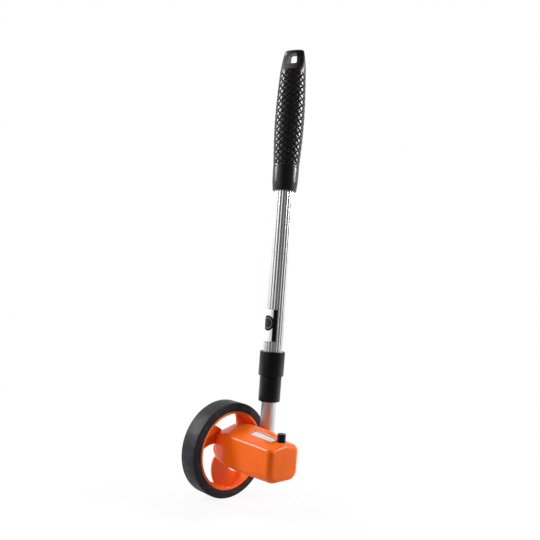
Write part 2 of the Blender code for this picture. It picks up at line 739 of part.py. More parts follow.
def add_screw(name, parent, place, turn, head_seat, length=SCREW_LENGTH):
    """A small slotted screw whose head's underside lies at head_seat along its own Z."""
    top = head_seat - SCREW_HEAD_HEIGHT
    profile = [
        (0.0, top),
        (SCREW_HEAD_RADIUS, top),
        (SCREW_HEAD_RADIUS, head_seat),
        (SCREW_RADIUS, head_seat),
        (SCREW_RADIUS, head_seat + length),
        (0.0, head_seat + length),
    ]
    screw = add_piece(name, lathe(profile, SMALL_STEPS), STEEL, parent, place, turn)
    reach = SCREW_HEAD_RADIUS + CUT_OVERRUN
    slot = box_outline(-reach, reach, -SCREW_SLOT_WIDTH / 2.0, SCREW_SLOT_WIDTH / 2.0)
    cut(screw, prism(slot, top - CUT_OVERRUN, top + SCREW_SLOT_DEPTH))
    return screw


def add_cover():
    """The plate in the housing's mouth, which carries the bush by the wheel."""
    gap = HOUSING_WALL + SEAT_GAP
    rings = [
        [Vector((x, point.y, point.z)) for point in housing_ring(HOUSING_MOUTH_X, gap)]
        for x in (HOUSING_MOUTH_X, COVER_BACK_X)
    ]
    cover = add_piece("housing_cover", loft(rings), ORANGE_PLASTIC, axle_frame)
    low = HOUSING_MOUTH_X - CUT_OVERRUN
    high = COVER_BACK_X + CUT_OVERRUN
    head_seat = HOUSING_MOUTH_X + SCREW_HEAD_HEIGHT
    holes = [placed(rod(BUSH_RADIUS + SHAFT_GAP, low, high, INNER_STEPS), turn=ALONG_X)]
    for i, (y, z) in enumerate(post_places()):
        counterbored = lathe([
            (0.0, low),
            (SCREW_HEAD_RADIUS + SEAT_GAP, low),
            (SCREW_HEAD_RADIUS + SEAT_GAP, head_seat + SHAFT_GAP),
            (SCREW_RADIUS + SHAFT_GAP, head_seat + SHAFT_GAP),
            (SCREW_RADIUS + SHAFT_GAP, high),
            (0.0, high),
        ], SMALL_STEPS)
        holes.append(placed(counterbored, (0.0, y, z), ALONG_X))
        add_screw(f"cover_screw_{i + 1}", axle_frame, (0.0, y, z), ALONG_X, head_seat)
    cut(cover, *holes)
    return cover


# Counter: places along the axle
DRUM_PITCH = DRUM_BAND + DRUM_GEAR + DRUM_GAP
DRUMS_END_X = DRUM_LEFT_X + DRUM_COUNT * DRUM_PITCH - DRUM_GAP
TRAIN_LEFT_X = DRUMS_END_X + SEAT_GAP
TRAIN_RIGHT_X = TRAIN_LEFT_X + TRAIN_GEAR_WIDTH
FRAME_LEFT_X = DRUM_LEFT_X - SEAT_GAP - FRAME_THICKNESS
FRAME_RIGHT_X = TRAIN_RIGHT_X + SEAT_GAP
FRAME_END_X = FRAME_RIGHT_X + FRAME_THICKNESS
CARRY_RADIUS = CARRY_MODULE * CARRY_TEETH / 2.0
DRUM_GEAR_RADIUS = CARRY_MODULE * DRUM_TEETH / 2.0
CARRY_DISTANCE = CARRY_RADIUS + DRUM_GEAR_RADIUS
CARRY_Y = DRUM_Y + CARRY_DISTANCE * math.cos(CARRY_ANGLE)
CARRY_Z = DRUM_Z + CARRY_DISTANCE * math.sin(CARRY_ANGLE)
TRAIN_RADIUS = TRAIN_MODULE * TRAIN_TEETH / 2.0
IDLER_RADIUS = TRAIN_MODULE * IDLER_TEETH / 2.0


def idler_place():
    """The idler meshes with the axle's gear and the counter's, on the front side of their line."""
    leg = TRAIN_RADIUS + IDLER_RADIUS + TRAIN_BACKLASH
    base = Vector((DRUM_Y, DRUM_Z))
    half = base.length / 2.0
    side = Vector((-base.y, base.x)).normalized()
    return base / 2.0 + side * math.sqrt(leg * leg - half * half)


IDLER = idler_place()


def frame_screw_places():
    return (FRAME_LEFT_X + FRAME_SCREW_INSET, FRAME_END_X - FRAME_SCREW_INSET)


def frame_screw_tip():
    return HOUSING_BACK_Y - HOUSING_WALL


def gear_outline(teeth, pitch_radius, module, phase, tip_share, root_share):
    """Four points a tooth: tip and root widths are shares of the tooth pitch."""
    tip = pitch_radius + TRAIN_TIP_SHARE * module
    root = pitch_radius - TRAIN_ROOT_SHARE * module
    pitch = TURN / teeth
    outline = []
    for i in range(teeth):
        middle = phase + i * pitch
        outline.append((root, middle - pitch * root_share / 2.0))
        outline.append((tip, middle - pitch * tip_share / 2.0))
        outline.append((tip, middle + pitch * tip_share / 2.0))
        outline.append((root, middle + pitch * root_share / 2.0))
    return [(radius * math.cos(angle), radius * math.sin(angle)) for radius, angle in outline]


def ring_gear(outline, bore, low, high):
    """A toothed outline with a round bore, extruded."""
    start = math.atan2(outline[0][1], outline[0][0])
    hole = circle(bore, len(outline), start)
    return loft([
        at_height(outline, low), at_height(outline, high),
        at_height(hole, high), at_height(hole, low),
    ], closed=True)


def direction(start, end):
    return math.atan2(end[1] - start[1], end[0] - start[0])


def meshed_phase(driver_phase, driver_teeth, angle, teeth):
    """The phase of a gear's tooth that meets a driver whose centre lies behind the given angle."""
    driver_pitch = TURN / driver_teeth
    lag = (angle - driver_phase) % driver_pitch
    return angle + math.pi + lag * driver_teeth / teeth + math.pi / teeth


TRAIN_TIP_SHARE = 0.24
TRAIN_ROOT_SHARE = 0.6
AXLE_GEAR_PHASE = direction((0.0, 0.0), IDLER)
IDLER_PHASE = meshed_phase(AXLE_GEAR_PHASE, TRAIN_TEETH, AXLE_GEAR_PHASE, IDLER_TEETH)
COUNTER_GEAR_PHASE = meshed_phase(IDLER_PHASE, IDLER_TEETH, direction(IDLER, (DRUM_Y, DRUM_Z)), TRAIN_TEETH)
CARRY_PHASE = meshed_phase(0.0, DRUM_TEETH, CARRY_ANGLE, CARRY_TEETH)


def add_train_gear(name, teeth, pitch_radius, phase, bore, parent, place, material):
    outline = gear_outline(teeth, pitch_radius, TRAIN_MODULE, phase, TRAIN_TIP_SHARE, TRAIN_ROOT_SHARE)
    gear = ring_gear(outline, bore, TRAIN_LEFT_X, TRAIN_RIGHT_X)
    return add_piece(name, gear, material, parent, place, ALONG_X)


def add_gear_train():
    """The axle's gear, the idler on its pin, and the gear on the counter's first drum."""
    add_train_gear("axle_gear", TRAIN_TEETH, TRAIN_RADIUS, AXLE_GEAR_PHASE,
                   AXLE_RADIUS + SHAFT_GAP, axle_frame, (0.0, 0.0, 0.0), BRASS)
    idler_at = (0.0, IDLER.x, IDLER.y)
    add_train_gear("idler_gear", IDLER_TEETH, IDLER_RADIUS, IDLER_PHASE,
                   IDLER_PIN_RADIUS + SHAFT_GAP, axle_frame, idler_at, WHITE_PLASTIC)
    add_train_gear("counter_gear", TRAIN_TEETH, TRAIN_RADIUS, COUNTER_GEAR_PHASE,
                   DRUM_SHAFT_RADIUS + SHAFT_GAP, counter_axis, (0.0, 0.0, 0.0), WHITE_PLASTIC)
    pin = rod(IDLER_PIN_RADIUS, TRAIN_LEFT_X, FRAME_END_X, SMALL_STEPS)
    add_piece("idler_pin", pin, STEEL, axle_frame, idler_at, ALONG_X)


def drum_left(number):
    """Drum 1 counts the least and lies at the outer end."""
    return DRUM_LEFT_X + (DRUM_COUNT - number) * DRUM_PITCH


def add_drums():
    """Digit drums on one shaft, each with a toothed ring that its carry pinion drives."""
    bore = DRUM_SHAFT_RADIUS + SHAFT_GAP
    tip = DRUM_GEAR_RADIUS + CARRY_MODULE * DRUM_TOOTH_SHARE
    root = DRUM_GEAR_RADIUS - CARRY_MODULE * DRUM_TOOTH_SHARE
    count = 2 * DRUM_TEETH
    teeth = [((tip, root)[i % 2], TURN * i / count) for i in range(count)]
    toothed = [(radius * math.cos(angle), radius * math.sin(angle)) for radius, angle in teeth]
    band = circle(DRUM_RADIUS, count)
    hole = circle(bore, count)
    for number in range(1, DRUM_COUNT + 1):
        left = drum_left(number)
        middle = left + DRUM_BAND
        right = middle + DRUM_GEAR
        drum = loft([
            at_height(hole, left), at_height(band, left), at_height(band, middle),
            at_height(toothed, middle), at_height(toothed, right), at_height(hole, right),
        ], closed=True)
        add_piece(f"digit_drum_{number}", drum, WHITE_PLASTIC, counter_axis, turn=ALONG_X)
    shaft = rod(DRUM_SHAFT_RADIUS, FRAME_LEFT_X, FRAME_END_X, SMALL_STEPS)
    add_piece("drum_shaft", shaft, STEEL, counter_axis, turn=ALONG_X)


def add_carry_pinions():
    """Between two drums, a pinion turns the slower one by its toothed ring."""
    tip = CARRY_RADIUS + CARRY_MODULE * CARRY_TIP_SHARE
    root = CARRY_RADIUS - CARRY_MODULE * CARRY_ROOT_SHARE
    count = 2 * CARRY_TEETH
    place = (0.0, CARRY_Y, CARRY_Z)
    points = [((tip, root)[i % 2], CARRY_PHASE + TURN * i / count) for i in range(count)]
    toothed = [(radius * math.cos(angle), radius * math.sin(angle)) for radius, angle in points]
    for number in range(1, DRUM_COUNT):
        left = drum_left(number + 1) + DRUM_BAND + SEAT_GAP
        right = drum_left(number) - SEAT_GAP
        pinion = ring_gear(toothed, CARRY_SHAFT_RADIUS + SHAFT_GAP, left, right)
        add_piece(f"carry_pinion_{number}", pinion, WHITE_PLASTIC, axle_frame, place, ALONG_X)
    shaft = rod(CARRY_SHAFT_RADIUS, FRAME_LEFT_X, FRAME_END_X, SMALL_STEPS)
    add_piece("pinion_shaft", shaft, STEEL, axle_frame, place, ALONG_X)


def add_counter_frame():
    """A folded steel frame: two end plates on a back plate, and a tab that the button's spring sits on."""
    cut_corner = FRAME_CORNER_CUT
    outline = [
        (FRAME_FRONT_Y, FRAME_BOTTOM_Z),
        (FRAME_BACK_Y, FRAME_BOTTOM_Z),
        (FRAME_BACK_Y, FRAME_TOP_Z),
        (FRAME_FRONT_Y + cut_corner, FRAME_TOP_Z),
        (FRAME_FRONT_Y, FRAME_TOP_Z - cut_corner),
    ]
    half = FRAME_THICKNESS / 2.0
    back = box_outline(FRAME_LEFT_X + half, FRAME_END_X - half, FRAME_BACK_Y - FRAME_THICKNESS, FRAME_BACK_Y)
    frame = add_piece("counter_frame", prism(back, FRAME_BOTTOM_Z, FRAME_TOP_Z), STEEL, axle_frame)
    tab_half = BUTTON_STEM_RADIUS + TAB_MARGIN
    tab = box_outline(FRAME_END_X - half, BUTTON_X + tab_half, BUTTON_Y - tab_half, BUTTON_Y + tab_half)
    join(
        frame,
        placed(prism(outline, FRAME_LEFT_X, FRAME_LEFT_X + FRAME_THICKNESS), turn=ALONG_X),
        placed(prism(outline, FRAME_RIGHT_X, FRAME_END_X), turn=ALONG_X),
    )
    join(frame, prism(tab, SPRING_SEAT_Z - FRAME_THICKNESS, SPRING_SEAT_Z))

    low = FRAME_LEFT_X - CUT_OVERRUN
    high = FRAME_END_X + CUT_OVERRUN
    holes = [
        (DRUM_SHAFT_RADIUS, low, DRUM_Y, DRUM_Z),
        (CARRY_SHAFT_RADIUS, low, CARRY_Y, CARRY_Z),
        (ROCKER_SHAFT_RADIUS, low, ROCKER_Y, ROCKER_Z),
        (IDLER_PIN_RADIUS, TRAIN_RIGHT_X, IDLER.x, IDLER.y),
    ]
    head_seat = FRAME_BACK_Y - FRAME_THICKNESS - SHAFT_GAP
    screws = [(x, 0.0, FRAME_SCREW_Z) for x in frame_screw_places()]
    stem_hole = rod(BUTTON_STEM_RADIUS + SLIDE_GAP, ROCKER_ARM_TOP_Z, BUTTON_SHOULDER_Z, SMALL_STEPS)
    cut(
        frame,
        placed(stem_hole, (BUTTON_X, BUTTON_Y, 0.0)),
        placed(rod(BUSH_RADIUS + SHAFT_GAP, FRAME_RIGHT_X - SEAT_GAP, high, INNER_STEPS), turn=ALONG_X),
        placed(rod(AXLE_RADIUS + BUSH_WALL, low, FRAME_LEFT_X + CUT_OVERRUN, INNER_STEPS), turn=ALONG_X),
        *[placed(rod(radius + SHAFT_GAP, start, high, SMALL_STEPS), (0.0, y, z), ALONG_X)
          for radius, start, y, z in holes],
        *[placed(rod(SCREW_RADIUS + SHAFT_GAP, head_seat, FRAME_BACK_Y + CUT_OVERRUN, SMALL_STEPS),
                 place, ALONG_Y)
          for place in screws],
    )
    for i, place in enumerate(screws):
        length = frame_screw_tip() - head_seat
        add_screw(f"frame_screw_{i + 1}", axle_frame, place, ALONG_Y, head_seat, length)
    return frame


# Axle, bushes and what holds the wheel on
AXLE_END_X = FRAME_END_X + BUSH_FLANGE_THICKNESS + CLIP_THICKNESS + 2.0 * SHAFT_GAP + SEAT_GAP


def add_axle():
    """A steel axle with a flat in the wheel's hub and a tapped hole in its end."""
    rings = [
        axle_ring(AXLE_RADIUS, AXLE_FLAT_DEPTH, HUB_BACK + SEAT_GAP),
        axle_ring(AXLE_RADIUS, AXLE_FLAT_DEPTH, -HUB_SETBACK),
        axle_ring(AXLE_RADIUS, 0.0, -HUB_SETBACK),
        axle_ring(AXLE_RADIUS, 0.0, AXLE_END_X),
    ]
    axle = add_piece("axle", loft(rings), STEEL, axle_frame, turn=ALONG_X)
    hole_end = HUB_BACK + WHEEL_SCREW_DEPTH + SEAT_GAP
    cut(axle, rod(WHEEL_SCREW_RADIUS + SHAFT_GAP, HUB_BACK - CUT_OVERRUN, hole_end, SMALL_STEPS))
    return axle


def add_bushes():
    """Flanged bushes: one in the cover by the wheel, one in the counter frame's end plate."""
    bore = AXLE_RADIUS + SHAFT_GAP
    flange = BUSH_RADIUS + BUSH_FLANGE_WIDTH
    seat = HOUSING_MOUTH_X - SHAFT_GAP
    face = seat - BUSH_FLANGE_THICKNESS
    wheel_side = lathe([
        (bore, face), (flange, face), (flange, seat),
        (BUSH_RADIUS, seat), (BUSH_RADIUS, COVER_BACK_X), (bore, COVER_BACK_X),
    ], INNER_STEPS)
    add_piece("wheel_side_bush", wheel_side, BRASS, axle_frame, turn=ALONG_X)
    seat = FRAME_END_X + SHAFT_GAP
    face = seat + BUSH_FLANGE_THICKNESS
    outer = lathe([
        (bore, FRAME_RIGHT_X), (BUSH_RADIUS, FRAME_RIGHT_X), (BUSH_RADIUS, seat),
        (flange, seat), (flange, face), (bore, face),
    ], INNER_STEPS)
    add_piece("frame_bush", outer, BRASS, axle_frame, turn=ALONG_X)


def add_axle_fastenings():
    """Washers on both sides of the hub, the screw in the axle's end, and the clip at its other end."""
    bore = AXLE_RADIUS + SHAFT_GAP
    thrust_start = -HUB_SETBACK + SEAT_GAP
    thrust = tube(bore + WASHER_WIDTH, bore, thrust_start, thrust_start + WASHER_THICKNESS, INNER_STEPS)
    add_piece("thrust_washer", thrust, WHITE_PLASTIC, axle_frame, turn=ALONG_X)
    washer_end = HUB_BACK - SEAT_GAP
    washer_start = washer_end - WASHER_THICKNESS
    washer = tube(bore + WASHER_WIDTH, WHEEL_SCREW_RADIUS + SHAFT_GAP, washer_start, washer_end, INNER_STEPS)
    add_piece("wheel_washer", washer, STEEL, axle_frame, turn=ALONG_X)
    seat = washer_start - SHAFT_GAP
    head = seat - WHEEL_SCREW_HEAD_HEIGHT
    chamfer = SCREW_SLOT_DEPTH
    screw = lathe([
        (0.0, head),
        (WHEEL_SCREW_HEAD_RADIUS - chamfer, head),
        (WHEEL_SCREW_HEAD_RADIUS, head + chamfer),
        (WHEEL_SCREW_HEAD_RADIUS, seat),
        (WHEEL_SCREW_RADIUS, seat),
        (WHEEL_SCREW_RADIUS, HUB_BACK + WHEEL_SCREW_DEPTH),
        (0.0, HUB_BACK + WHEEL_SCREW_DEPTH),
    ], INNER_STEPS)
    wheel_screw = add_piece("wheel_screw", screw, STEEL, axle_frame, turn=ALONG_X)
    reach = WHEEL_SCREW_HEAD_RADIUS * WHEEL_SCREW_CROSS_SHARE
    half_slot = WHEEL_SCREW_SLOT / 2.0
    cross = [
        (reach, -half_slot), (reach, half_slot), (half_slot, half_slot),
        (half_slot, reach), (-half_slot, reach), (-half_slot, half_slot),
        (-reach, half_slot), (-reach, -half_slot), (-half_slot, -half_slot),
        (-half_slot, -reach), (half_slot, -reach), (half_slot, -half_slot),
    ]
    cut(wheel_screw, prism(cross, head - CUT_OVERRUN, head + WHEEL_SCREW_SLOT))
    clip_start = FRAME_END_X + SHAFT_GAP + BUSH_FLANGE_THICKNESS + SHAFT_GAP
    clip = tube(bore + CLIP_WIDTH, bore, clip_start, clip_start + CLIP_THICKNESS, INNER_STEPS)
    axle_clip = add_piece("axle_clip", clip, STEEL, axle_frame, turn=ALONG_X)
    half_mouth = AXLE_RADIUS * CLIP_MOUTH_SHARE
    mouth = box_outline(-half_mouth, half_mouth, -bore - 2.0 * CLIP_WIDTH, 0.0)
    cut(axle_clip, prism(mouth, clip_start - CUT_OVERRUN, clip_start + CLIP_THICKNESS + CUT_OVERRUN))


# Reset button and rocker
def coil(radius, wire_radius, low, high, coils):
    """A round wire swept along a helix about Z."""
    count = coils * SMALL_STEPS
    rings = []
    for i in range(count + 1):
        angle = TURN * coils * i / count
        outwards = Vector((math.cos(angle), math.sin(angle), 0.0))
        around = Vector((-math.sin(angle), math.cos(angle), 0.0)) * (TURN * coils * radius)
        along = (around + Vector((0.0, 0.0, high - low))).normalized()
        centre = outwards * radius + Vector((0.0, 0.0, low + (high - low) * i / count))
        side = along.cross(outwards)
        rings.append([centre + outwards * u + side * v for u, v in circle(wire_radius, WIRE_STEPS)])
    return loft(rings)


def add_reset():
    """A sprung button whose stem presses an arm on a rocker shaft, which swings a comb at the drums."""
    chamfer = BUTTON_CHAMFER
    stem_end = ROCKER_ARM_TOP_Z + SEAT_GAP
    button = lathe([
        (0.0, stem_end),
        (BUTTON_STEM_RADIUS, stem_end),
        (BUTTON_STEM_RADIUS, BUTTON_SHOULDER_Z),
        (BUTTON_RADIUS, BUTTON_SHOULDER_Z),
        (BUTTON_RADIUS, BUTTON_TOP_Z - chamfer),
        (BUTTON_RADIUS - chamfer, BUTTON_TOP_Z),
        (0.0, BUTTON_TOP_Z),
    ], INNER_STEPS)
    place = (BUTTON_X, BUTTON_Y, 0.0)
    add_piece("reset_button", button, BLACK_PLASTIC, axle_frame, place)
    clip_top = SPRING_SEAT_Z - FRAME_THICKNESS - SEAT_GAP
    clip_bore = BUTTON_STEM_RADIUS + SHAFT_GAP
    clip_radius = clip_bore + BUTTON_CLIP_WIDTH
    clip = tube(clip_radius, clip_bore, clip_top - CLIP_THICKNESS, clip_top, SMALL_STEPS)
    add_piece("button_clip", clip, STEEL, axle_frame, place)

    low = SPRING_SEAT_Z + SEAT_GAP + SPRING_WIRE_RADIUS
    high = BUTTON_SHOULDER_Z - SEAT_GAP - SPRING_WIRE_RADIUS
    radius = BUTTON_STEM_RADIUS + SLIDE_GAP + 2.0 * SPRING_WIRE_RADIUS
    spring = coil(radius, SPRING_WIRE_RADIUS, low, high, SPRING_COILS)
    add_piece("reset_spring", spring, STEEL, axle_frame, place)

    rocker = (0.0, ROCKER_Y, ROCKER_Z)
    arm_left = BUTTON_X - ROCKER_ARM_WIDTH / 2.0
    arm_right = BUTTON_X + ROCKER_ARM_WIDTH / 2.0
    shaft = rod(ROCKER_SHAFT_RADIUS, FRAME_LEFT_X, arm_right, SMALL_STEPS)
    add_piece("rocker_shaft", shaft, STEEL, axle_frame, rocker, ALONG_X)

    bore = ROCKER_SHAFT_RADIUS + SHAFT_GAP
    barrel_left = DRUM_LEFT_X
    barrel = tube(ROCKER_BARREL_RADIUS, bore, barrel_left, DRUMS_END_X, SMALL_STEPS)
    comb = add_piece("reset_comb", barrel, BLACK_PLASTIC, axle_frame, rocker, ALONG_X)
    half = FINGER_THICKNESS / 2.0
    foot = (ROCKER_SHAFT_RADIUS + ROCKER_BARREL_RADIUS) / 2.0
    outline = box_outline(-half, half, foot, FINGER_HEIGHT)
    width = DRUM_BAND * FINGER_WIDTH_SHARE
    lefts = [drum_left(number) + (DRUM_BAND - width) / 2.0 for number in range(1, DRUM_COUNT + 1)]
    join(comb, *[prism(outline, left, left + width) for left in lefts])

    arm_barrel = tube(ROCKER_BARREL_RADIUS, bore, arm_left, arm_right, SMALL_STEPS)
    arm = add_piece("reset_arm", arm_barrel, STEEL, axle_frame, rocker, ALONG_X)
    top = ROCKER_ARM_TOP_Z - ROCKER_Z
    reach = BUTTON_Y + ROCKER_ARM_REACH - ROCKER_Y
    root = (ROCKER_SHAFT_RADIUS + ROCKER_BARREL_RADIUS) / 2.0
    lever = [
        (root, -root),
        (reach, top - ROCKER_ARM_THICKNESS),
        (reach, top),
        (ROCKER_BARREL_RADIUS, top),
        (0.0, root),
        (root, 0.0),
    ]
    join(arm, prism(lever, arm_left, arm_right))


# Handle
MIDDLE_BORE = MIDDLE_TUBE_RADIUS - TUBE_WALL
INNER_BORE = INNER_TUBE_RADIUS - TUBE_WALL
OUTER_BORE = MIDDLE_TUBE_RADIUS + SLIDE_GAP
UPPER_COLLAR_BOTTOM = LOWER_COLLAR_BOTTOM + LOWER_COLLAR_HEIGHT + SEAT_GAP
UPPER_COLLAR_TOP = UPPER_COLLAR_BOTTOM + UPPER_COLLAR_HEIGHT
GRIP_TOP = HAND_HEIGHT + GRIP_LENGTH / 2.0
GRIP_BOTTOM = HAND_HEIGHT - GRIP_LENGTH / 2.0
HANG_HOLE_TOP = GRIP_TOP - HANG_HOLE_TOP_MARGIN
HANG_HOLE_BOTTOM = HANG_HOLE_TOP - HANG_HOLE_HEIGHT
GRIP_SOCKET_END = HANG_HOLE_BOTTOM - GRIP_BORE_END
OUTER_TUBE_TOP = GRIP_SOCKET_END - SEAT_GAP
LOCK_HEIGHT = LOCK_FLANGE + LOCK_SLEEVE_HEIGHT + LOCK_FLANGE + 3.0 * SEAT_GAP
MIDDLE_TUBE_TOP = OUTER_TUBE_TOP - LOCK_END_ROOM - LOCK_HEIGHT
INNER_TUBE_TOP = MIDDLE_TUBE_TOP - LOCK_SPIGOT - LOCK_END_ROOM - LOCK_HEIGHT


def add_collar(name, bottom, height, tube_radius, lip_bore, wall):
    """A moulded ferrule on a tube's end, with a lip under it that guides the thinner tube."""
    bore = tube_radius + SEAT_GAP
    radius = bore + wall
    top = bottom + height
    chamfer = COLLAR_CHAMFER
    profile = [
        (lip_bore, bottom),
        (radius - chamfer, bottom),
        (radius, bottom + chamfer),
        (radius, top - chamfer),
        (radius - chamfer, top),
        (bore, top),
        (bore, bottom + COLLAR_LIP),
        (lip_bore, bottom + COLLAR_LIP),
    ]
    return add_piece(name, lathe(profile), BLACK_PLASTIC, tube_axis)


def add_tubes():
    """The fluted outer tube, the middle tube and the plain inner tube, with their two collars."""
    low = UPPER_COLLAR_BOTTOM + COLLAR_LIP + SEAT_GAP
    count = 2 * FLUTE_COUNT
    fluted = []
    for i in range(count):
        radius = FLUTE_TIP_RADIUS - FLUTE_DEPTH * (i % 2)
        fluted.append((radius * math.cos(TURN * i / count), radius * math.sin(TURN * i / count)))
    bore = circle(OUTER_BORE, count)
    outer = loft([
        at_height(fluted, low), at_height(fluted, OUTER_TUBE_TOP),
        at_height(bore, OUTER_TUBE_TOP), at_height(bore, low),
    ], closed=True)
    add_piece("outer_tube", outer, ALUMINIUM, tube_axis)
    add_collar("upper_collar", UPPER_COLLAR_BOTTOM, UPPER_COLLAR_HEIGHT, FLUTE_TIP_RADIUS,
               MIDDLE_TUBE_RADIUS + SLIDE_GAP, UPPER_COLLAR_WALL)
    low = LOWER_COLLAR_BOTTOM + COLLAR_LIP + SEAT_GAP
    middle = tube(MIDDLE_TUBE_RADIUS, MIDDLE_BORE, low, MIDDLE_TUBE_TOP)
    add_piece("middle_tube", middle, ALUMINIUM, tube_axis)
    add_collar("lower_collar", LOWER_COLLAR_BOTTOM, LOWER_COLLAR_HEIGHT, MIDDLE_TUBE_RADIUS,
               INNER_TUBE_RADIUS + SLIDE_GAP, LOWER_COLLAR_WALL)
    inner = tube(INNER_TUBE_RADIUS, INNER_BORE, SOCKET_FLOOR_Z + SEAT_GAP, INNER_TUBE_TOP)
    inner_tube = add_piece("inner_tube", inner, ALUMINIUM, tube_axis)
    hole = rod(SCREW_RADIUS + SHAFT_GAP, 0.0, INNER_TUBE_RADIUS + CUT_OVERRUN, SMALL_STEPS)
    cut(inner_tube, placed(hole, (0.0, 0.0, TUBE_SCREW_Z), ALONG_Y))
    head_seat = -(INNER_TUBE_RADIUS + SEAT_GAP + SOCKET_WALL + SHAFT_GAP)
    length = SOCKET_WALL + SEAT_GAP + TUBE_WALL + SCREW_HEAD_HEIGHT
    add_screw("tube_screw", tube_axis, (0.0, 0.0, TUBE_SCREW_Z), AGAINST_Y, head_seat, length=length)


def add_lock(name, tube_top, bore, tube_radius, outer_bore):
    """A twist lock in a tube's end: a plug with a stud, and a split sleeve on the stud."""
    spigot = bore - SEAT_GAP
    sleeve_radius = outer_bore - SLIDE_GAP
    stud = sleeve_radius - LOCK_SLEEVE_WALL - SLIDE_GAP
    flange = tube_top + SEAT_GAP
    sleeve_low = flange + LOCK_FLANGE + SEAT_GAP
    sleeve_high = sleeve_low + LOCK_SLEEVE_HEIGHT
    cap = sleeve_high + SEAT_GAP
    core = lathe([
        (0.0, tube_top - LOCK_SPIGOT),
        (spigot, tube_top - LOCK_SPIGOT),
        (spigot, flange),
        (tube_radius, flange),
        (tube_radius, flange + LOCK_FLANGE),
        (stud, flange + LOCK_FLANGE),
        (stud, cap),
        (sleeve_radius, cap),
        (sleeve_radius, cap + LOCK_FLANGE),
        (0.0, cap + LOCK_FLANGE),
    ], INNER_STEPS)
    add_piece(f"{name}_core", core, BLACK_PLASTIC, tube_axis)
    sleeve = tube(sleeve_radius, stud + SLIDE_GAP, sleeve_low, sleeve_high, INNER_STEPS)
    piece = add_piece(f"{name}_sleeve", sleeve, WHITE_PLASTIC, tube_axis)
    slit = box_outline(0.0, sleeve_radius + CUT_OVERRUN, -LOCK_SLIT / 2.0, LOCK_SLIT / 2.0)
    cut(piece, prism(slit, sleeve_low - CUT_OVERRUN, sleeve_high + CUT_OVERRUN))


def grip_ring(height, half_width, half_thickness, raised=0.0, parity=0):
    """An oval ring; where a diamond pattern is cut, every other point stands out."""
    count = 2 * DIAMONDS_AROUND
    ring = []
    for i in range(count):
        lift = raised if (i + parity) % 2 == 0 else 0.0
        angle = TURN * i / count
        u = (half_width + lift) * math.cos(angle)
        v = (half_thickness + lift) * math.sin(angle)
        ring.append(Vector((u, v, height)))
    return ring


def grip_radius(share):
    """The belly swells from the collar end and shrinks to the shoulder, along a half sine."""
    base = GRIP_COLLAR_RADIUS + (GRIP_SHOULDER_RADIUS - GRIP_COLLAR_RADIUS) * share
    return base + (GRIP_BELLY_RADIUS - GRIP_COLLAR_RADIUS) * math.sin(math.pi * share)


def add_grip():
    """The rubber grip: a smooth collar, a belly cut in diamonds, and a flattened end with a hang hole."""
    corner = GRIP_CORNER
    belly_start = GRIP_BOTTOM + GRIP_COLLAR_LENGTH
    belly_end = GRIP_TOP - GRIP_TOP_LENGTH
    mouth = GRIP_MOUTH_RADIUS
    rings = [
        grip_ring(GRIP_BOTTOM, mouth - GRIP_MOUTH_EDGE, mouth - GRIP_MOUTH_EDGE),
        grip_ring(GRIP_BOTTOM + GRIP_MOUTH_EDGE, mouth, mouth),
    ]
    half_rows = 2 * DIAMOND_ROWS
    for k in range(half_rows + 1):
        share = k / half_rows
        radius = grip_radius(share) - DIAMOND_HEIGHT / 2.0
        height = belly_start + (belly_end - belly_start) * share
        raised = DIAMOND_HEIGHT if 0 < k < half_rows else DIAMOND_HEIGHT / 2.0
        rings.append(grip_ring(height, radius, radius, raised, k))
    steps = 2 * CORNER_STEPS
    for k in range(1, steps + 1):
        share = k / steps
        width = GRIP_SHOULDER_RADIUS + (GRIP_TIP_HALF_WIDTH - GRIP_SHOULDER_RADIUS) * share * share
        fall = math.sin(math.pi / 2.0 * share)
        thickness = GRIP_SHOULDER_RADIUS + (GRIP_TIP_HALF_THICKNESS - GRIP_SHOULDER_RADIUS) * fall
        height = belly_end + (GRIP_TOP_LENGTH - corner) * share
        rings.append(grip_ring(height, width, thickness))
    for k in range(1, GRIP_EDGE_STEPS + 1):
        angle = math.pi / 2.0 * k / GRIP_EDGE_STEPS
        inset = corner * (1.0 - math.cos(angle))
        height = GRIP_TOP - corner * (1.0 - math.sin(angle))
        rings.append(grip_ring(height, GRIP_TIP_HALF_WIDTH - inset, GRIP_TIP_HALF_THICKNESS - inset))
    grip = add_piece("grip", loft(rings), GRIP_RUBBER, tube_axis, turn=(0.0, 0.0, GRIP_TURN))
    corners = [
        (-HANG_HOLE_TOP_HALF_WIDTH, -HANG_HOLE_TOP),
        (HANG_HOLE_TOP_HALF_WIDTH, -HANG_HOLE_TOP),
        (HANG_HOLE_HALF_WIDTH, -HANG_HOLE_BOTTOM),
        (-HANG_HOLE_HALF_WIDTH, -HANG_HOLE_BOTTOM),
    ]
    hole = round_corners(corners, [HANG_HOLE_CORNER] * len(corners), GRIP_EDGE_STEPS)
    reach = GRIP_BELLY_RADIUS + CUT_OVERRUN
    cut(
        grip,
        rod(FLUTE_TIP_RADIUS + SEAT_GAP, GRIP_BOTTOM - CUT_OVERRUN, GRIP_SOCKET_END),
        placed(prism(hole, -reach, reach), turn=ALONG_Y),
    )
    return grip


add_tyre()
add_rim()
add_housing()
add_cover()
add_window()
add_gear_train()
add_drums()
add_carry_pinions()
add_counter_frame()
add_axle()
add_bushes()
add_axle_fastenings()
add_reset()
add_tubes()
add_lock("upper_lock", MIDDLE_TUBE_TOP, MIDDLE_BORE, MIDDLE_TUBE_RADIUS, OUTER_BORE)
add_lock("lower_lock", INNER_TUBE_TOP, INNER_BORE, INNER_TUBE_RADIUS, MIDDLE_BORE)
add_grip()
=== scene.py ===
"""A hand-held measuring wheel with a telescoping handle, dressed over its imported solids."""

import json
import math

import bmesh
import bpy
import numpy as np
from mathutils import Matrix, Vector


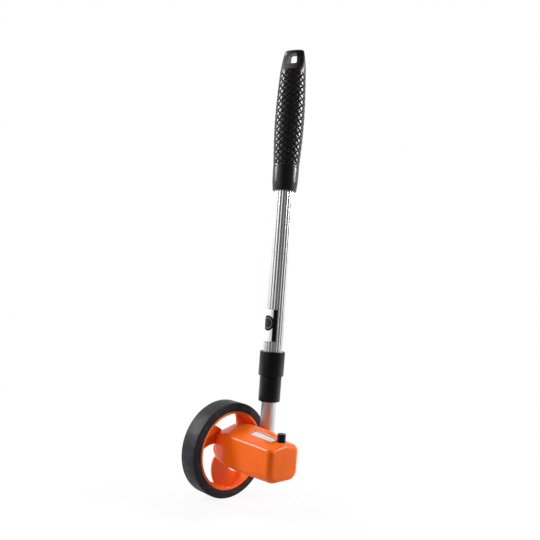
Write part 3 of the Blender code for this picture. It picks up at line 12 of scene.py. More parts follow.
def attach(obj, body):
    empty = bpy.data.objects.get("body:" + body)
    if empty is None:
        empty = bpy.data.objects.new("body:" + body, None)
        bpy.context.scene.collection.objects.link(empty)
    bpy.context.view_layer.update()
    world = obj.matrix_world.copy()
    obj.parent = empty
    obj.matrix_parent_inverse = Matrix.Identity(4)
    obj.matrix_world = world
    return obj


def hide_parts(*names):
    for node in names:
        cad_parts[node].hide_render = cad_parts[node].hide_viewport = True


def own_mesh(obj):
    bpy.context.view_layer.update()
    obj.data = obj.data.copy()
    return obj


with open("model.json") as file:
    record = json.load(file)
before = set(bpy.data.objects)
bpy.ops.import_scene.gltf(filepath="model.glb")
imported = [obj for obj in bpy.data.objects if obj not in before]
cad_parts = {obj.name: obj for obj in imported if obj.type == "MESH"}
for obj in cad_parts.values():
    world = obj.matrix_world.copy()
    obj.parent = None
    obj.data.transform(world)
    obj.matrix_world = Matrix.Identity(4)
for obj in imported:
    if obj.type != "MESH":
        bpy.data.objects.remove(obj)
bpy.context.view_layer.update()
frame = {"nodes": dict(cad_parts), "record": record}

# Grip: a sleeve of soft black rubber moulded over the end of the outer tube. Grooves wound both ways round
# its belly leave pillowed diamonds; its end is pressed flat and has a slot to hang it by.
MM = 0.001
TURN = 2.0 * math.pi
MERGE_DISTANCE = 0.002 * MM
CUT_OVERRUN = 1.0 * MM
GRIP_LOW, GRIP_HIGH = -74.7 * MM, 74.7 * MM
BELLY_LOW, BELLY_HIGH = -49.5 * MM, 50.9 * MM
BELLY_RADIUS = 13.55 * MM
BELLY_SWELL = 1.9 * MM
MOUTH_RADIUS = 12.4 * MM
MOUTH_HEIGHT = 9.0 * MM
MOUTH_ROUNDINGS = np.array([0.0, 1.0, 8.0, 0.5, 0.0]) * MM
GRIP_COLLAR_RADIUS = 13.4 * MM
GRIP_LIP_RADIUS, GRIP_LIP_FOOT = 13.75 * MM, 13.0 * MM
GRIP_LIP_HEIGHT = 0.8 * MM
TIP_HALF_WIDTH = 11.1 * MM
TIP_HALF_THICKNESS = 4.6 * MM
GRIP_CORNER = 3.2 * MM
GRIP_TURN = math.radians(24.0)
GROOVE_DEPTH = 0.9 * MM
GROOVE_SHARE = 0.19
PILLOW_RISE = 0.12 * MM
GROOVE_ROWS = 15
GROOVES_AROUND = 10
GRIP_BORE_RADIUS = 10.3 * MM
GRIP_BORE_HIGH = 52.8 * MM
SLOT_LOW, SLOT_HIGH = 58.0 * MM, 70.2 * MM
SLOT_HALF_WIDTH = 6.2 * MM
SLOT_TAPER_SHARE = 0.68
SLOT_CORNER = 1.8 * MM
SLOT_REACH = 20.0 * MM
RUBBER_BLACK = (0.0062, 0.0042, 0.0056)
RUBBER_PATCH = 9.0 * MM
RUBBER_GLOSS_SPOT = 3.0 * MM
RUBBER_STIPPLE = 0.35 * MM
RUBBER_RELIEF = 0.008 * MM


def mesh_of(name, points, faces):
    """A mesh from points in any grid of threes and the faces between them."""
    mesh = bpy.data.meshes.new(name)
    mesh.from_pydata(np.reshape(points, (-1, 3)).tolist(), [], faces)
    return mesh


def skin(name, rings, ends="capped"):
    """Rows of points made a mesh: each row is a closed ring, joined to the next one by four-sided faces.
    The end rings are capped with one face each, joined to each other, or left open."""
    rows, around, _ = rings.shape
    index = np.arange(rows * around).reshape(rows, around)
    low = index if ends == "joined" else index[:-1]
    high = np.roll(index, -1, axis=0) if ends == "joined" else index[1:]
    sides = [low, np.roll(low, -1, axis=1), np.roll(high, -1, axis=1), high]
    faces = np.stack(sides, axis=-1).reshape(-1, 4).tolist()
    if ends == "capped":
        faces += [index[0][::-1].tolist(), index[-1].tolist()]
    return mesh_of(name, rings, faces)


def cleaned(mesh):
    """The same mesh with its doubles merged and its faces turned outwards."""
    bm = bmesh.new()
    bm.from_mesh(mesh)
    bmesh.ops.remove_doubles(bm, verts=bm.verts, dist=MERGE_DISTANCE)
    bmesh.ops.recalc_face_normals(bm, faces=bm.faces)
    bm.to_mesh(mesh)
    bm.free()
    return mesh


def placed(name, data):
    """A new object for a mesh, a text, a lamp or a camera, put in the scene."""
    item = bpy.data.objects.new(name, data)
    bpy.context.scene.collection.objects.link(item)
    return item


def finish_piece(name, mesh, material, body, stands_for=(), edge_degrees=32.0):
    """A mesh made a piece: doubles merged, faces outwards, smooth up to an edge angle, riding on a body."""
    cleaned(mesh)
    mesh.materials.clear()
    mesh.materials.append(material)
    mesh.shade_smooth()
    mesh.set_sharp_from_angle(angle=math.radians(edge_degrees))
    piece = placed(name, mesh)
    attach(piece, body)
    if stands_for:
        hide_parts(*stands_for)
    return piece


def carve(mesh, tool_mesh, operation="DIFFERENCE"):
    """One mesh cut from another, or joined to it, and the result kept as a plain mesh."""
    pair = [placed("carving", cleaned(part)) for part in (mesh, tool_mesh)]
    modifier = pair[0].modifiers.new("carve", "BOOLEAN")
    modifier.operation = operation
    modifier.solver = "EXACT"
    modifier.object = pair[1]
    graph = bpy.context.evaluated_depsgraph_get()
    carved = bpy.data.meshes.new_from_object(pair[0].evaluated_get(graph))
    for part in pair:
        bpy.data.objects.remove(part, do_unlink=True)
    return carved


def filleted(corners, radii, steps=6, closed=False):
    """A path whose corners are replaced by arcs of the given radii, each touching both its sides. A point of
    an arc is a mean of its two ends, weighted by the sines of the angles that are left to them."""
    corners = np.array(corners, float)
    count = len(corners)
    path = []
    for i, radius in enumerate(radii):
        here = corners[i]
        if radius == 0.0 or (not closed and i in (0, count - 1)):
            path.append(here[None])
            continue
        back = corners[i - 1] - here
        ahead = corners[(i + 1) % count] - here
        back, ahead = back / np.linalg.norm(back), ahead / np.linalg.norm(ahead)
        half = math.acos(float(np.clip(back @ ahead, -1.0, 1.0))) / 2.0
        middle = (back + ahead) / np.linalg.norm(back + ahead)
        centre = here + middle * radius / math.sin(half)
        start = here + back * radius / math.tan(half) - centre
        end = here + ahead * radius / math.tan(half) - centre
        share = np.linspace(0.0, 1.0, steps + 1)[:, None]
        sweep = math.pi - 2.0 * half
        arc = np.sin((1.0 - share) * sweep) * start + np.sin(share * sweep) * end
        path.append(centre + arc / math.sin(sweep))
    return np.concatenate(path)


def turned(profile, around=96, axis="Z", centre=(0.0, 0.0, 0.0)):
    """A profile of (radius, place along the axis) spun about the axis: radius times the cosine and sine of
    the angle across it, and the place along it."""
    profile = np.array(profile, float)
    angle = np.linspace(0.0, TURN, around, endpoint=False)
    across_a = profile[:, :1] * np.cos(angle)
    across_b = profile[:, :1] * np.sin(angle)
    along = np.broadcast_to(profile[:, 1:], across_a.shape)
    order = {"Z": (across_a, across_b, along), "X": (along, across_a, across_b),
             "Y": (across_b, along, across_a)}
    return np.stack(order[axis], axis=-1) + np.array(centre)


def pin(radius, low, high, around, axis="Z", centre=(0.0, 0.0, 0.0), roundings=(0.0, 0.0, 0.0, 0.0)):
    """A round pin that is joined on or cuts a hole: its half section is turned about its axis."""
    half_section = filleted([(0.0, low), (radius, low), (radius, high), (0.0, high)], roundings)
    return skin("pin", turned(half_section, around, axis, centre), "open")


def prism(outline, low, high, axis="Z", centre=(0.0, 0.0, 0.0)):
    """An outline carried straight along an axis from one place to another."""
    a, b = np.array(outline, float).T
    rings = []
    for place in (low, high):
        along = np.full(len(a), place)
        order = {"Z": (a, b, along), "X": (along, a, b), "Y": (a, along, b)}
        rings.append(np.stack(order[axis], axis=-1))
    return np.array(rings) + np.array(centre)


def ovals(width, thickness, height, angle):
    """Ovals round the tool's axis: width times the cosine and thickness times the sine of the angle."""
    return np.stack(np.broadcast_arrays(width * np.cos(angle), thickness * np.sin(angle), height), -1)


def feed(node, **inputs):
    """Give a node's inputs a value, or link another node's output to them. An input goes by its name with _
    for each space, or by its number as in input_1."""
    for key, value in inputs.items():
        numbered = key.startswith("input_")
        socket = node.inputs[int(key.removeprefix("input_")) if numbered else key.replace("_", " ")]
        if isinstance(value, bpy.types.NodeSocket):
            node.id_data.links.new(value, socket)
        else:
            socket.default_value = value
    return node


def add(tree, kind, settings=None, **inputs):
    """A new shader node in a tree, with its settings and its inputs."""
    node = tree.nodes.new("ShaderNode" + kind)
    for key, value in (settings or {}).items():
        setattr(node, key, value)
    return feed(node, **inputs)


def new_material(name):
    """A material with one shader, the material's tree of nodes, and that shader."""
    material = bpy.data.materials.new(name)
    material.use_nodes = True
    return material, material.node_tree, material.node_tree.nodes["Principled BSDF"]


def grain(tree, size, stretch=(1.0, 1.0, 1.0), detail=3.0):
    """Noise in the piece's own coordinates whose spots are about size across, stretched per axis."""
    place = add(tree, "TexCoord").outputs["Object"]
    mapping = add(tree, "Mapping", Vector=place, Scale=[1.0 / (size * share) for share in stretch])
    noise = add(tree, "TexNoise", Vector=mapping.outputs["Vector"], Scale=1.0, Detail=detail, Roughness=0.55)
    return noise.outputs["Fac"]


def graded(tree, fac, stops):
    """A factor run through a colour ramp of (place, colour) stops."""
    ramp = add(tree, "ValToRGB", Fac=fac)
    ramp.color_ramp.elements.remove(ramp.color_ramp.elements[1])
    for i, (place, colour) in enumerate(stops):
        stop = ramp.color_ramp.elements[0] if i == 0 else ramp.color_ramp.elements.new(place)
        stop.position = place
        stop.color = (*colour, 1.0)
    return ramp.outputs["Color"]


def ranged(tree, fac, low, high):
    """A factor from 0 to 1 spread over another range."""
    return add(tree, "MapRange", Value=fac, To_Min=low, To_Max=high).outputs["Result"]


def bumped(tree, shader, height, depth, below=None):
    """Relief of a given depth on the shader's normal, over another relief where there is one."""
    bump = add(tree, "Bump", Height=height, Strength=1.0, Distance=depth)
    if below is not None:
        feed(bump, Normal=below)
    feed(shader, Normal=bump.outputs["Normal"])
    return bump.outputs["Normal"]


def shade(colour, share):
    """A colour times a share, with each of its three values held at 1."""
    return tuple(min(value * share, 1.0) for value in colour)


def moulded_rubber(name, colour, gloss, shine):
    """Rubber from a mould: an even, slightly oily skin with a fine stipple and paler handled patches."""
    material, tree, shader = new_material(name)
    stops = [(0.3, shade(colour, 0.8)), (0.7, shade(colour, 1.35))]
    feed(shader, Base_Color=graded(tree, grain(tree, RUBBER_PATCH), stops), Specular_IOR_Level=shine)
    feed(shader, Roughness=ranged(tree, grain(tree, RUBBER_GLOSS_SPOT), gloss - 0.07, gloss + 0.07))
    bumped(tree, shader, grain(tree, RUBBER_STIPPLE), RUBBER_RELIEF)
    return material


def grip_surface():
    """Ovals stacked up the grip. The mouth is a rounded path up to the lip. The belly's radius is even, plus
    a half sine. Above it the width narrows with the square of the height, and the thickness falls as a
    quarter sine. In the belly two sets of grooves follow whole numbers of angle plus and minus height, and
    between them the rubber rises as a sine of the distance to the nearer groove."""
    angle = np.linspace(0.0, TURN, GROOVES_AROUND * 24, endpoint=False)[None, :]
    mouth = filleted(
        [(0.0, GRIP_LOW), (MOUTH_RADIUS, GRIP_LOW), (GRIP_COLLAR_RADIUS, GRIP_LOW + MOUTH_HEIGHT),
         (GRIP_LIP_RADIUS, BELLY_LOW - GRIP_LIP_HEIGHT), (GRIP_LIP_FOOT, BELLY_LOW)], MOUTH_ROUNDINGS, 8)
    rings = [ovals(mouth[:, :1], mouth[:, :1], mouth[:, 1:], angle)]
    share = np.linspace(0.0, 1.0, GROOVE_ROWS * 16 + 1)[:, None]
    turn = angle * GROOVES_AROUND / TURN
    rise = share * GROOVE_ROWS
    to_left = np.abs((turn + rise + 0.5) % 1.0 - 0.5)
    to_right = np.abs((turn - rise + 0.5) % 1.0 - 0.5)
    near = np.minimum(to_left, to_right)
    pillow = np.sin(np.minimum(near / GROOVE_SHARE, 1.0) * math.pi / 2.0)
    fade = np.clip(np.minimum(share, 1.0 - share) * GROOVE_ROWS * 2.0, 0.0, 1.0)
    belly = BELLY_RADIUS + BELLY_SWELL * np.sin(math.pi * share)
    belly = belly - (GROOVE_DEPTH * (1.0 - pillow) + PILLOW_RISE * (1.0 - 2.0 * near)) * fade
    rings.append(ovals(belly, belly, BELLY_LOW + (BELLY_HIGH - BELLY_LOW) * share, angle))
    share = np.linspace(0.0, 1.0, 33)[1:, None]
    width = BELLY_RADIUS + (TIP_HALF_WIDTH - BELLY_RADIUS) * share ** 2
    thickness = BELLY_RADIUS + (TIP_HALF_THICKNESS - BELLY_RADIUS) * np.sin(math.pi / 2.0 * share)
    rings.append(ovals(width, thickness, BELLY_HIGH + (GRIP_HIGH - GRIP_CORNER - BELLY_HIGH) * share, angle))
    round_off = np.linspace(0.0, math.pi / 2.0, 9)[1:, None]
    inset = GRIP_CORNER * (1.0 - np.cos(round_off))
    height = GRIP_HIGH - GRIP_CORNER * (1.0 - np.sin(round_off))
    rings.append(ovals(TIP_HALF_WIDTH - inset, TIP_HALF_THICKNESS - inset, height, angle))
    rings.append(ovals(0.0, 0.0, GRIP_HIGH, angle))
    return np.concatenate(rings)


grip_rubber = moulded_rubber("grip_rubber", RUBBER_BLACK, gloss=0.26, shine=0.5)
grip_bore = pin(GRIP_BORE_RADIUS, GRIP_LOW - CUT_OVERRUN, GRIP_BORE_HIGH, 64)
grip_mesh = carve(skin("grip", grip_surface()), grip_bore)
slot_outline = filleted(
    [(-SLOT_TAPER_SHARE * SLOT_HALF_WIDTH, SLOT_HIGH), (SLOT_TAPER_SHARE * SLOT_HALF_WIDTH, SLOT_HIGH),
     (SLOT_HALF_WIDTH, SLOT_LOW), (-SLOT_HALF_WIDTH, SLOT_LOW)], [SLOT_CORNER] * 4, 8, closed=True)
grip_mesh = carve(grip_mesh, skin("grip_slot", prism(slot_outline, -SLOT_REACH, SLOT_REACH, "Y")))
grip_mesh.transform(Matrix.Rotation(GRIP_TURN, 4, "Z"))
finish_piece("rubber_grip", grip_mesh, grip_rubber, "handle", ["grip"], edge_degrees=50.0)

# Outer tube: extruded aluminium with ribs along it, left bright. The grip is moulded over its upper end, and
# a paper sticker is on it just above the upper collar: white, with a black stripe and a dark round patch.
OUTER_LOW, OUTER_HIGH = -263.7 * MM, 52.5 * MM
OUTER_RADIUS = 10.0 * MM
OUTER_BORE = 9.0 * MM
RIBS = 18
RIB_DEPTH = 0.5 * MM
RIB_TURN = math.radians(-67.7)
ALUMINIUM_COLOUR = (0.92, 0.925, 0.935)
STREAK_WIDTH, STREAK_LENGTH = 0.4 * MM, 90.0 * MM
CLOUD_SIZE = 14.0 * MM
BRIGHT_RELIEF = 0.003 * MM
STICKER_LOW, STICKER_HIGH = -231.2 * MM, -198.4 * MM
STICKER_GAP = 0.06 * MM
STICKER_SINK_SHARE = 0.12
STICKER_START, STICKER_END = math.radians(-170.0), math.radians(-31.0)
STICKER_COLUMNS = 120
STRIPE_START = math.radians(-56.0)
PATCH_MIDDLE = math.radians(-92.0)
PATCH_HEIGHT = -212.5 * MM
PATCH_RADIUS = 8.0 * MM
PATCH_RING_RADIUS, PATCH_RING_HALF_WIDTH = 5.28 * MM, 0.4 * MM
PAPER_DULL, PAPER_WHITE = (0.92, 0.92, 0.91), (0.97, 0.97, 0.97)
PATCH_INK, RING_INK, STRIPE_INK = (0.012, 0.012, 0.013), (0.16, 0.16, 0.165), (0.006, 0.006, 0.007)
PAPER_CLOUD, PAPER_GLOSS_SPOT, PAPER_FIBRE = 1.2 * MM, 0.8 * MM, 0.25 * MM
PAPER_RELIEF = 0.002 * MM


def drawn_metal(name, colour, gloss, relief):
    """Metal drawn or extruded along its length: streaks much longer than wide, in gloss and in relief."""
    material, tree, shader = new_material(name)
    streaks = grain(tree, STREAK_WIDTH, (1.0, 1.0, STREAK_LENGTH / STREAK_WIDTH))
    stops = [(0.3, shade(colour, 0.95)), (0.7, shade(colour, 1.04))]
    feed(shader, Metallic=1.0, Base_Color=graded(tree, grain(tree, CLOUD_SIZE), stops))
    feed(shader, Roughness=ranged(tree, streaks, gloss - 0.06, gloss + 0.09))
    bumped(tree, shader, streaks, relief)
    return material


def rib_dip(angle):
    """How far the outside lies below the ribs' crests. Each rib is an arc whose chord is the pitch and whose
    rise is the depth, so the dip is the arc's radius less the root of its square less the square of the
    distance from the crest."""
    half = OUTER_RADIUS * TURN / RIBS / 2.0
    arc = (half ** 2 + RIB_DEPTH ** 2) / (2.0 * RIB_DEPTH)
    across = half * (((angle - RIB_TURN) * 2.0 * RIBS / TURN + 1.0) % 2.0 - 1.0)
    return arc - np.sqrt(arc ** 2 - across ** 2)


def ribbed_rings(low, high):
    """A tube whose outer radius dips between its ribs; its bore is round."""
    angle = RIB_TURN + np.linspace(0.0, TURN, RIBS * 16, endpoint=False)[None, :]
    outside = OUTER_RADIUS - rib_dip(angle)
    bore = np.full_like(angle, OUTER_BORE)
    radius = np.concatenate([outside, outside, bore, bore])
    return ovals(radius, radius, np.array([[low], [high], [high], [low]]), angle)


def sheet(name, points):
    """A grid of points joined by four-sided faces and open at its edges."""
    index = np.arange(points.shape[0] * points.shape[1]).reshape(points.shape[:2])
    faces = np.stack([index[:-1, :-1], index[:-1, 1:], index[1:, 1:], index[1:, :-1]], -1)
    return mesh_of(name, points, faces.reshape(-1, 4).tolist())


def sticker_paper():
    """Printed paper: white, with a black stripe along one edge and a dark disc with a paler ring in it,
    placed by the sticker's own UV map, which holds the shares of its angle and of its height."""
    material, tree, shader = new_material("sticker_paper")
    split = add(tree, "SeparateXYZ", Vector=add(tree, "UVMap", {"uv_map": "sticker"}).outputs["UV"])
    across = add(tree, "MapRange", {"clamp": False}, Value=split.outputs["X"],
                 To_Min=(STICKER_START - PATCH_MIDDLE) * OUTER_RADIUS,
                 To_Max=(STICKER_END - PATCH_MIDDLE) * OUTER_RADIUS)
    along = add(tree, "MapRange", {"clamp": False}, Value=split.outputs["Y"],
                To_Min=STICKER_LOW - PATCH_HEIGHT, To_Max=STICKER_HIGH - PATCH_HEIGHT)
    point = add(tree, "CombineXYZ", X=across.outputs["Result"], Y=along.outputs["Result"])
    away = add(tree, "VectorMath", {"operation": "LENGTH"}, input_0=point.outputs["Vector"]).outputs["Value"]
    disc = add(tree, "Math", {"operation": "LESS_THAN"}, input_0=away, input_1=PATCH_RADIUS)
    ring = add(tree, "Math", {"operation": "COMPARE"}, input_0=away,
               input_1=PATCH_RING_RADIUS, input_2=PATCH_RING_HALF_WIDTH)
    stripe = add(tree, "Math", {"operation": "GREATER_THAN"}, input_0=split.outputs["X"],
                 input_1=(STRIPE_START - STICKER_START) / (STICKER_END - STICKER_START))
    colour = graded(tree, grain(tree, PAPER_CLOUD), [(0.35, PAPER_DULL), (0.65, PAPER_WHITE)])
    for mask, ink in ((disc, PATCH_INK), (ring, RING_INK), (stripe, STRIPE_INK)):
        colour = add(tree, "Mix", {"data_type": "RGBA"}, input_0=mask.outputs["Value"],
                     input_6=colour, input_7=(*ink, 1.0)).outputs[2]
    gloss = ranged(tree, grain(tree, PAPER_GLOSS_SPOT), 0.3, 0.45)
    feed(shader, Base_Color=colour, Roughness=gloss, Specular_IOR_Level=0.2)
    bumped(tree, shader, grain(tree, PAPER_FIBRE), PAPER_RELIEF)
    return material


bright_aluminium = drawn_metal("bright_aluminium", ALUMINIUM_COLOUR, 0.2, BRIGHT_RELIEF)
fluted_mesh = skin("fluted_tube", ribbed_rings(OUTER_LOW, OUTER_HIGH), "joined")
finish_piece("fluted_tube", fluted_mesh, bright_aluminium, "handle", ["outer_tube"],
             edge_degrees=40.0)

sticker_angle = np.linspace(STICKER_START, STICKER_END, STICKER_COLUMNS)
sticker_radius = OUTER_RADIUS + STICKER_GAP - STICKER_SINK_SHARE * rib_dip(sticker_angle)
sticker_height = np.array([[STICKER_LOW], [STICKER_HIGH]])
sticker_mesh = sheet("sticker", ovals(sticker_radius, sticker_radius, sticker_height, sticker_angle))
face_corners = np.empty(len(sticker_mesh.loops), np.int32)
sticker_mesh.loops.foreach_get("vertex_index", face_corners)
point_uv = np.stack(np.meshgrid(np.linspace(0.0, 1.0, STICKER_COLUMNS), [0.0, 1.0]), -1).reshape(-1, 2)
sticker_uv = sticker_mesh.uv_layers.new(name="sticker")
sticker_uv.data.foreach_set("uv", point_uv[face_corners].reshape(-1))
finish_piece("tube_sticker", sticker_mesh, sticker_paper(), "handle")

# Collars and inner tubes: black plastic ferrules pressed on the tubes' lower ends, each with a lip that
# guides the next tube. The two thinner tubes are plain drawn aluminium, a little duller than the outer one.
COLLAR_BLACK = (0.0055, 0.0038, 0.0046)
UPPER_COLLAR = (-267.0 * MM, -241.7 * MM, 13.1 * MM, 10.3 * MM, 9.0 * MM)
LOWER_COLLAR = (-293.3 * MM, -267.3 * MM, 11.3 * MM, 9.0 * MM, 8.0 * MM)
COLLAR_LIP = 3.0 * MM
COLLAR_ROUNDINGS = np.array([0.3, 0.8, 0.8, 0.2, 0.0, 0.0]) * MM
MIDDLE_TUBE = (-290.0 * MM, 30.6 * MM, 8.7 * MM, 8.0 * MM)
INNER_TUBE = (-350.1 * MM, -3.3 * MM, 7.7 * MM, 7.0 * MM)
TUBE_ROUNDING = 0.2 * MM
DULL_SHARE = 0.62
DULL_RELIEF = 0.006 * MM
FLOW_MARK = 16.0 * MM
PLASTIC_GLOSS_SPOT = 4.0 * MM
COLLAR_STIPPLE, COLLAR_RELIEF = 0.5 * MM, 0.006 * MM


def moulded_plastic(name, colour, gloss, relief, spot, mottle, shine):
    """Injection-moulded plastic: a fine orange-peel skin, faint flow marks and small changes of gloss."""
    material, tree, shader = new_material(name)
    flow = grain(tree, FLOW_MARK, (1.0, 1.0, 2.2))
    stops = [(0.3, shade(colour, 1.0 - mottle)), (0.7, shade(colour, 1.0 + mottle))]
    feed(shader, Base_Color=graded(tree, flow, stops), Specular_IOR_Level=shine)
    feed(shader, Roughness=ranged(tree, grain(tree, PLASTIC_GLOSS_SPOT), gloss - 0.05, gloss + 0.06))
    bumped(tree, shader, grain(tree, spot), relief)
    return material


def collar_profile(low, high, radius, bore, lip_bore):
    """Round the outside with small arcs, down the wider bore, and in over the lip at the lower end."""
    return filleted(
        [(lip_bore, low), (radius, low), (radius, high), (bore, high), (bore, low + COLLAR_LIP),
         (lip_bore, low + COLLAR_LIP)], COLLAR_ROUNDINGS, 6, closed=True)


collar_plastic = moulded_plastic(
    "collar_plastic", COLLAR_BLACK, 0.28, COLLAR_RELIEF, COLLAR_STIPPLE, mottle=0.06, shine=0.26)
for collar_name, sizes, body, node in (
    ("upper_ferrule", UPPER_COLLAR, "handle", "upper_collar"),
    ("lower_ferrule", LOWER_COLLAR, "middle_section", "lower_collar"),
):
    collar_mesh = skin(collar_name, turned(collar_profile(*sizes)), "joined")
    finish_piece(collar_name, collar_mesh, collar_plastic, body, [node])

satin_aluminium = drawn_metal("satin_aluminium", shade(ALUMINIUM_COLOUR, DULL_SHARE), 0.46, DULL_RELIEF)
for tube_name, (low, high, radius, bore_radius), body, node in (
    ("middle_slide_tube", MIDDLE_TUBE, "middle_section", "middle_tube"),
    ("inner_slide_tube", INNER_TUBE, "head", "inner_tube"),
):
    wall = [(bore_radius, low), (radius, low), (radius, high), (bore_radius, high)]
    rings = turned(filleted(wall, [TUBE_ROUNDING] * 4, 3, closed=True))
    finish_piece(tube_name, skin(tube_name, rings, "joined"), satin_aluminium, body, [node])

# Counter housing: one orange moulding on the lowest tube's end, held there by a cross screw. Its section has
# a flat floor, upright sides and a roof that rises to a ridge; the ridge falls to the outer end, and the end
# by the wheel draws in on an ellipse.
AXLE = np.array([-18.5, -29.5, -345.4]) * MM
HOUSING_ORANGE = (0.8, 0.12, 0.005)
ORANGE_STIPPLE, ORANGE_RELIEF = 0.7 * MM, 0.006 * MM
WALL = 2.2 * MM
MOUTH_X, END_X = -8.0 * MM, 74.8 * MM
DOME_X, DOME_LENGTH = 15.5 * MM, 40.0 * MM
DOME_CENTRE = np.array([-1.2, 8.9]) * MM
FALL_X = 37.5 * MM
FRONT_Y, BACK_Y = -19.1 * MM, 20.6 * MM
FLOOR_Z, FLOOR_END_Z, EAVE_Z = -11.6 * MM, -12.8 * MM, 20.2 * MM
EAVE_MARGIN = 4.0 * MM
RIDGE_HIGH = np.array([11.8, 29.6]) * MM
RIDGE_END = np.array([1.9, 24.2]) * MM
EDGE_RADII = np.array([5.0, 5.0, 4.5, 7.0, 4.5]) * MM
END_RADII = np.array([11.0, 10.0, 7.5, 7.0, 5.0]) * MM
LEAST_EDGE_RADIUS = 0.8 * MM
END_ROUNDING = 6.0 * MM
WINDOW_X = (28.5 * MM, 61.0 * MM)
WINDOW_Y = (-5.2 * MM, 3.6 * MM)
WINDOW_SINK = 0.3 * MM
WINDOW_OVERRUN = 2.0 * MM
LENS_THICKNESS = 1.0 * MM
LENS_LEDGE = 0.9 * MM
LENS_GAP = 0.3 * MM
BUTTON_PLACE = (66.5 * MM, 2.4 * MM)
BUTTON_HOLE_RADIUS, BUTTON_HOLE_LOW, BUTTON_HOLE_HIGH = 4.4 * MM, 15.0 * MM, 32.0 * MM
SOCKET = (18.5 * MM, 29.5 * MM)
SOCKET_RADIUS = 10.2 * MM
SOCKET_BORE = 8.0 * MM
SOCKET_LOW, SOCKET_FLOOR, SOCKET_HIGH = -8.0 * MM, -5.0 * MM, 16.0 * MM
SOCKET_ROUNDINGS = np.array([0.0, 1.2, 0.8, 0.0]) * MM
SOCKET_WEB_HALF_WIDTH, SOCKET_WEB_INSET = 6.5 * MM, 0.8 * MM
CROSS_HOLE_RADIUS, CROSS_HOLE_LENGTH, CROSS_HOLE_HEIGHT = 1.15 * MM, 12.0 * MM, 7.0 * MM


def section(x, inset=0.0):
    """The outline at x: five corners, moved inwards by inset along both their sides and rounded. The ridge
    falls outwards as three squares less two cubes of the share of the way; near the wheel the corners are
    drawn in to the dome's centre by the root of one less the square of the share of the dome's length."""
    share = np.clip((x - FALL_X) / (END_X - FALL_X), 0.0, 1.0)
    share = share * share * (3.0 - 2.0 * share)
    ridge = RIDGE_HIGH + (RIDGE_END - RIDGE_HIGH) * share
    scale = math.sqrt(1.0 - (max(DOME_X - x, 0.0) / DOME_LENGTH) ** 2)
    floor_z = FLOOR_Z + (FLOOR_END_Z - FLOOR_Z) * share
    corners = np.array([(FRONT_Y, floor_z), (BACK_Y, floor_z), (BACK_Y, EAVE_Z), ridge, (FRONT_Y, EAVE_Z)])
    corners = DOME_CENTRE + (corners - DOME_CENTRE) * scale
    side_in = corners - np.roll(corners, 1, axis=0)
    side_in /= np.linalg.norm(side_in, axis=1)[:, None]
    side_out = np.roll(side_in, -1, axis=0)
    normal_in = np.stack([-side_in[:, 1], side_in[:, 0]], -1)
    normal_out = np.stack([-side_out[:, 1], side_out[:, 0]], -1)
    middle = normal_in + normal_out
    corners = corners + middle * (inset / np.sum(middle * normal_in, axis=1))[:, None]
    radii = (EDGE_RADII + (END_RADII - EDGE_RADII) * share) * scale - inset
    outline = filleted(corners, np.maximum(radii, LEAST_EDGE_RADIUS), 8, closed=True)
    return np.column_stack([np.full(len(outline), x), outline])


def roof(x, y):
    """The roof's height at x and y, read off the outline there along its upper points."""
    outline = section(x)
    top = outline[outline[:, 2] > EAVE_Z - EAVE_MARGIN]
    order = np.argsort(top[:, 1])
    return float(np.interp(y, top[order, 1], top[order, 2]))


def roof_ring(grow, sink):
    """The window's outline, grown on its four sides, at a depth below the roof."""
    xs = np.linspace(WINDOW_X[0] - grow, WINDOW_X[1] + grow, 15)
    front = [(x, WINDOW_Y[0] - grow) for x in xs]
    back = [(x, WINDOW_Y[1] + grow) for x in xs[::-1]]
    return np.array([(x, y, roof(x, y) - sink) for x, y in front + back])


def housing_shell():
    """Outlines skinned from the inner end to the mouth and out over the outside to the outer end, whose edge
    is a quarter circle; then the handle's socket is joined and the openings are cut."""
    stations = [*np.linspace(MOUTH_X, DOME_X, 20), *np.linspace(FALL_X, END_X - END_ROUNDING, 22)]
    outer = [section(x) for x in stations]
    inner = [section(x, WALL) for x in stations]
    for rings, radius in ((outer, END_ROUNDING), (inner, END_ROUNDING - WALL)):
        for angle in np.linspace(0.0, math.pi / 2.0, 11)[1:]:
            x = END_X - END_ROUNDING + radius * math.sin(angle)
            rings.append(section(x, END_ROUNDING - radius * math.cos(angle)))
    shell = skin("housing_shell", np.array(inner[::-1] + outer))
    web_left, web_right = SOCKET[0] - SOCKET_WEB_HALF_WIDTH, SOCKET[0] + SOCKET_WEB_HALF_WIDTH
    web_root = BACK_Y - WALL / 2.0
    web = [(web_left, web_root), (web_right, web_root), (web_right, SOCKET[1]), (web_left, SOCKET[1])]
    web = prism(web, SOCKET_LOW + SOCKET_WEB_INSET, SOCKET_HIGH - SOCKET_WEB_INSET)
    shell = carve(shell, skin("web", web), "UNION")
    place = (*SOCKET, 0.0)
    barrel = pin(SOCKET_RADIUS, SOCKET_LOW, SOCKET_HIGH, 64, "Z", place, SOCKET_ROUNDINGS)
    shell = carve(shell, barrel, "UNION")
    shell = carve(shell, pin(SOCKET_BORE, SOCKET_FLOOR, SOCKET_HIGH + CUT_OVERRUN, 64, "Z", place))
    seat = WINDOW_SINK + LENS_THICKNESS + LENS_GAP
    window = np.array([roof_ring(-LENS_LEDGE, WALL + WINDOW_OVERRUN), roof_ring(-LENS_LEDGE, seat),
                       roof_ring(LENS_GAP, seat), roof_ring(LENS_GAP, -WINDOW_OVERRUN)])
    shell = carve(shell, skin("window", window))
    place = (*BUTTON_PLACE, 0.0)
    shell = carve(shell, pin(BUTTON_HOLE_RADIUS, BUTTON_HOLE_LOW, BUTTON_HOLE_HIGH, 48, "Z", place))
    place = (*SOCKET, CROSS_HOLE_HEIGHT)
    shell = carve(shell, pin(CROSS_HOLE_RADIUS, 0.0, CROSS_HOLE_LENGTH, 24, "Y", place))
    shell.transform(Matrix.Translation(AXLE))
    return shell


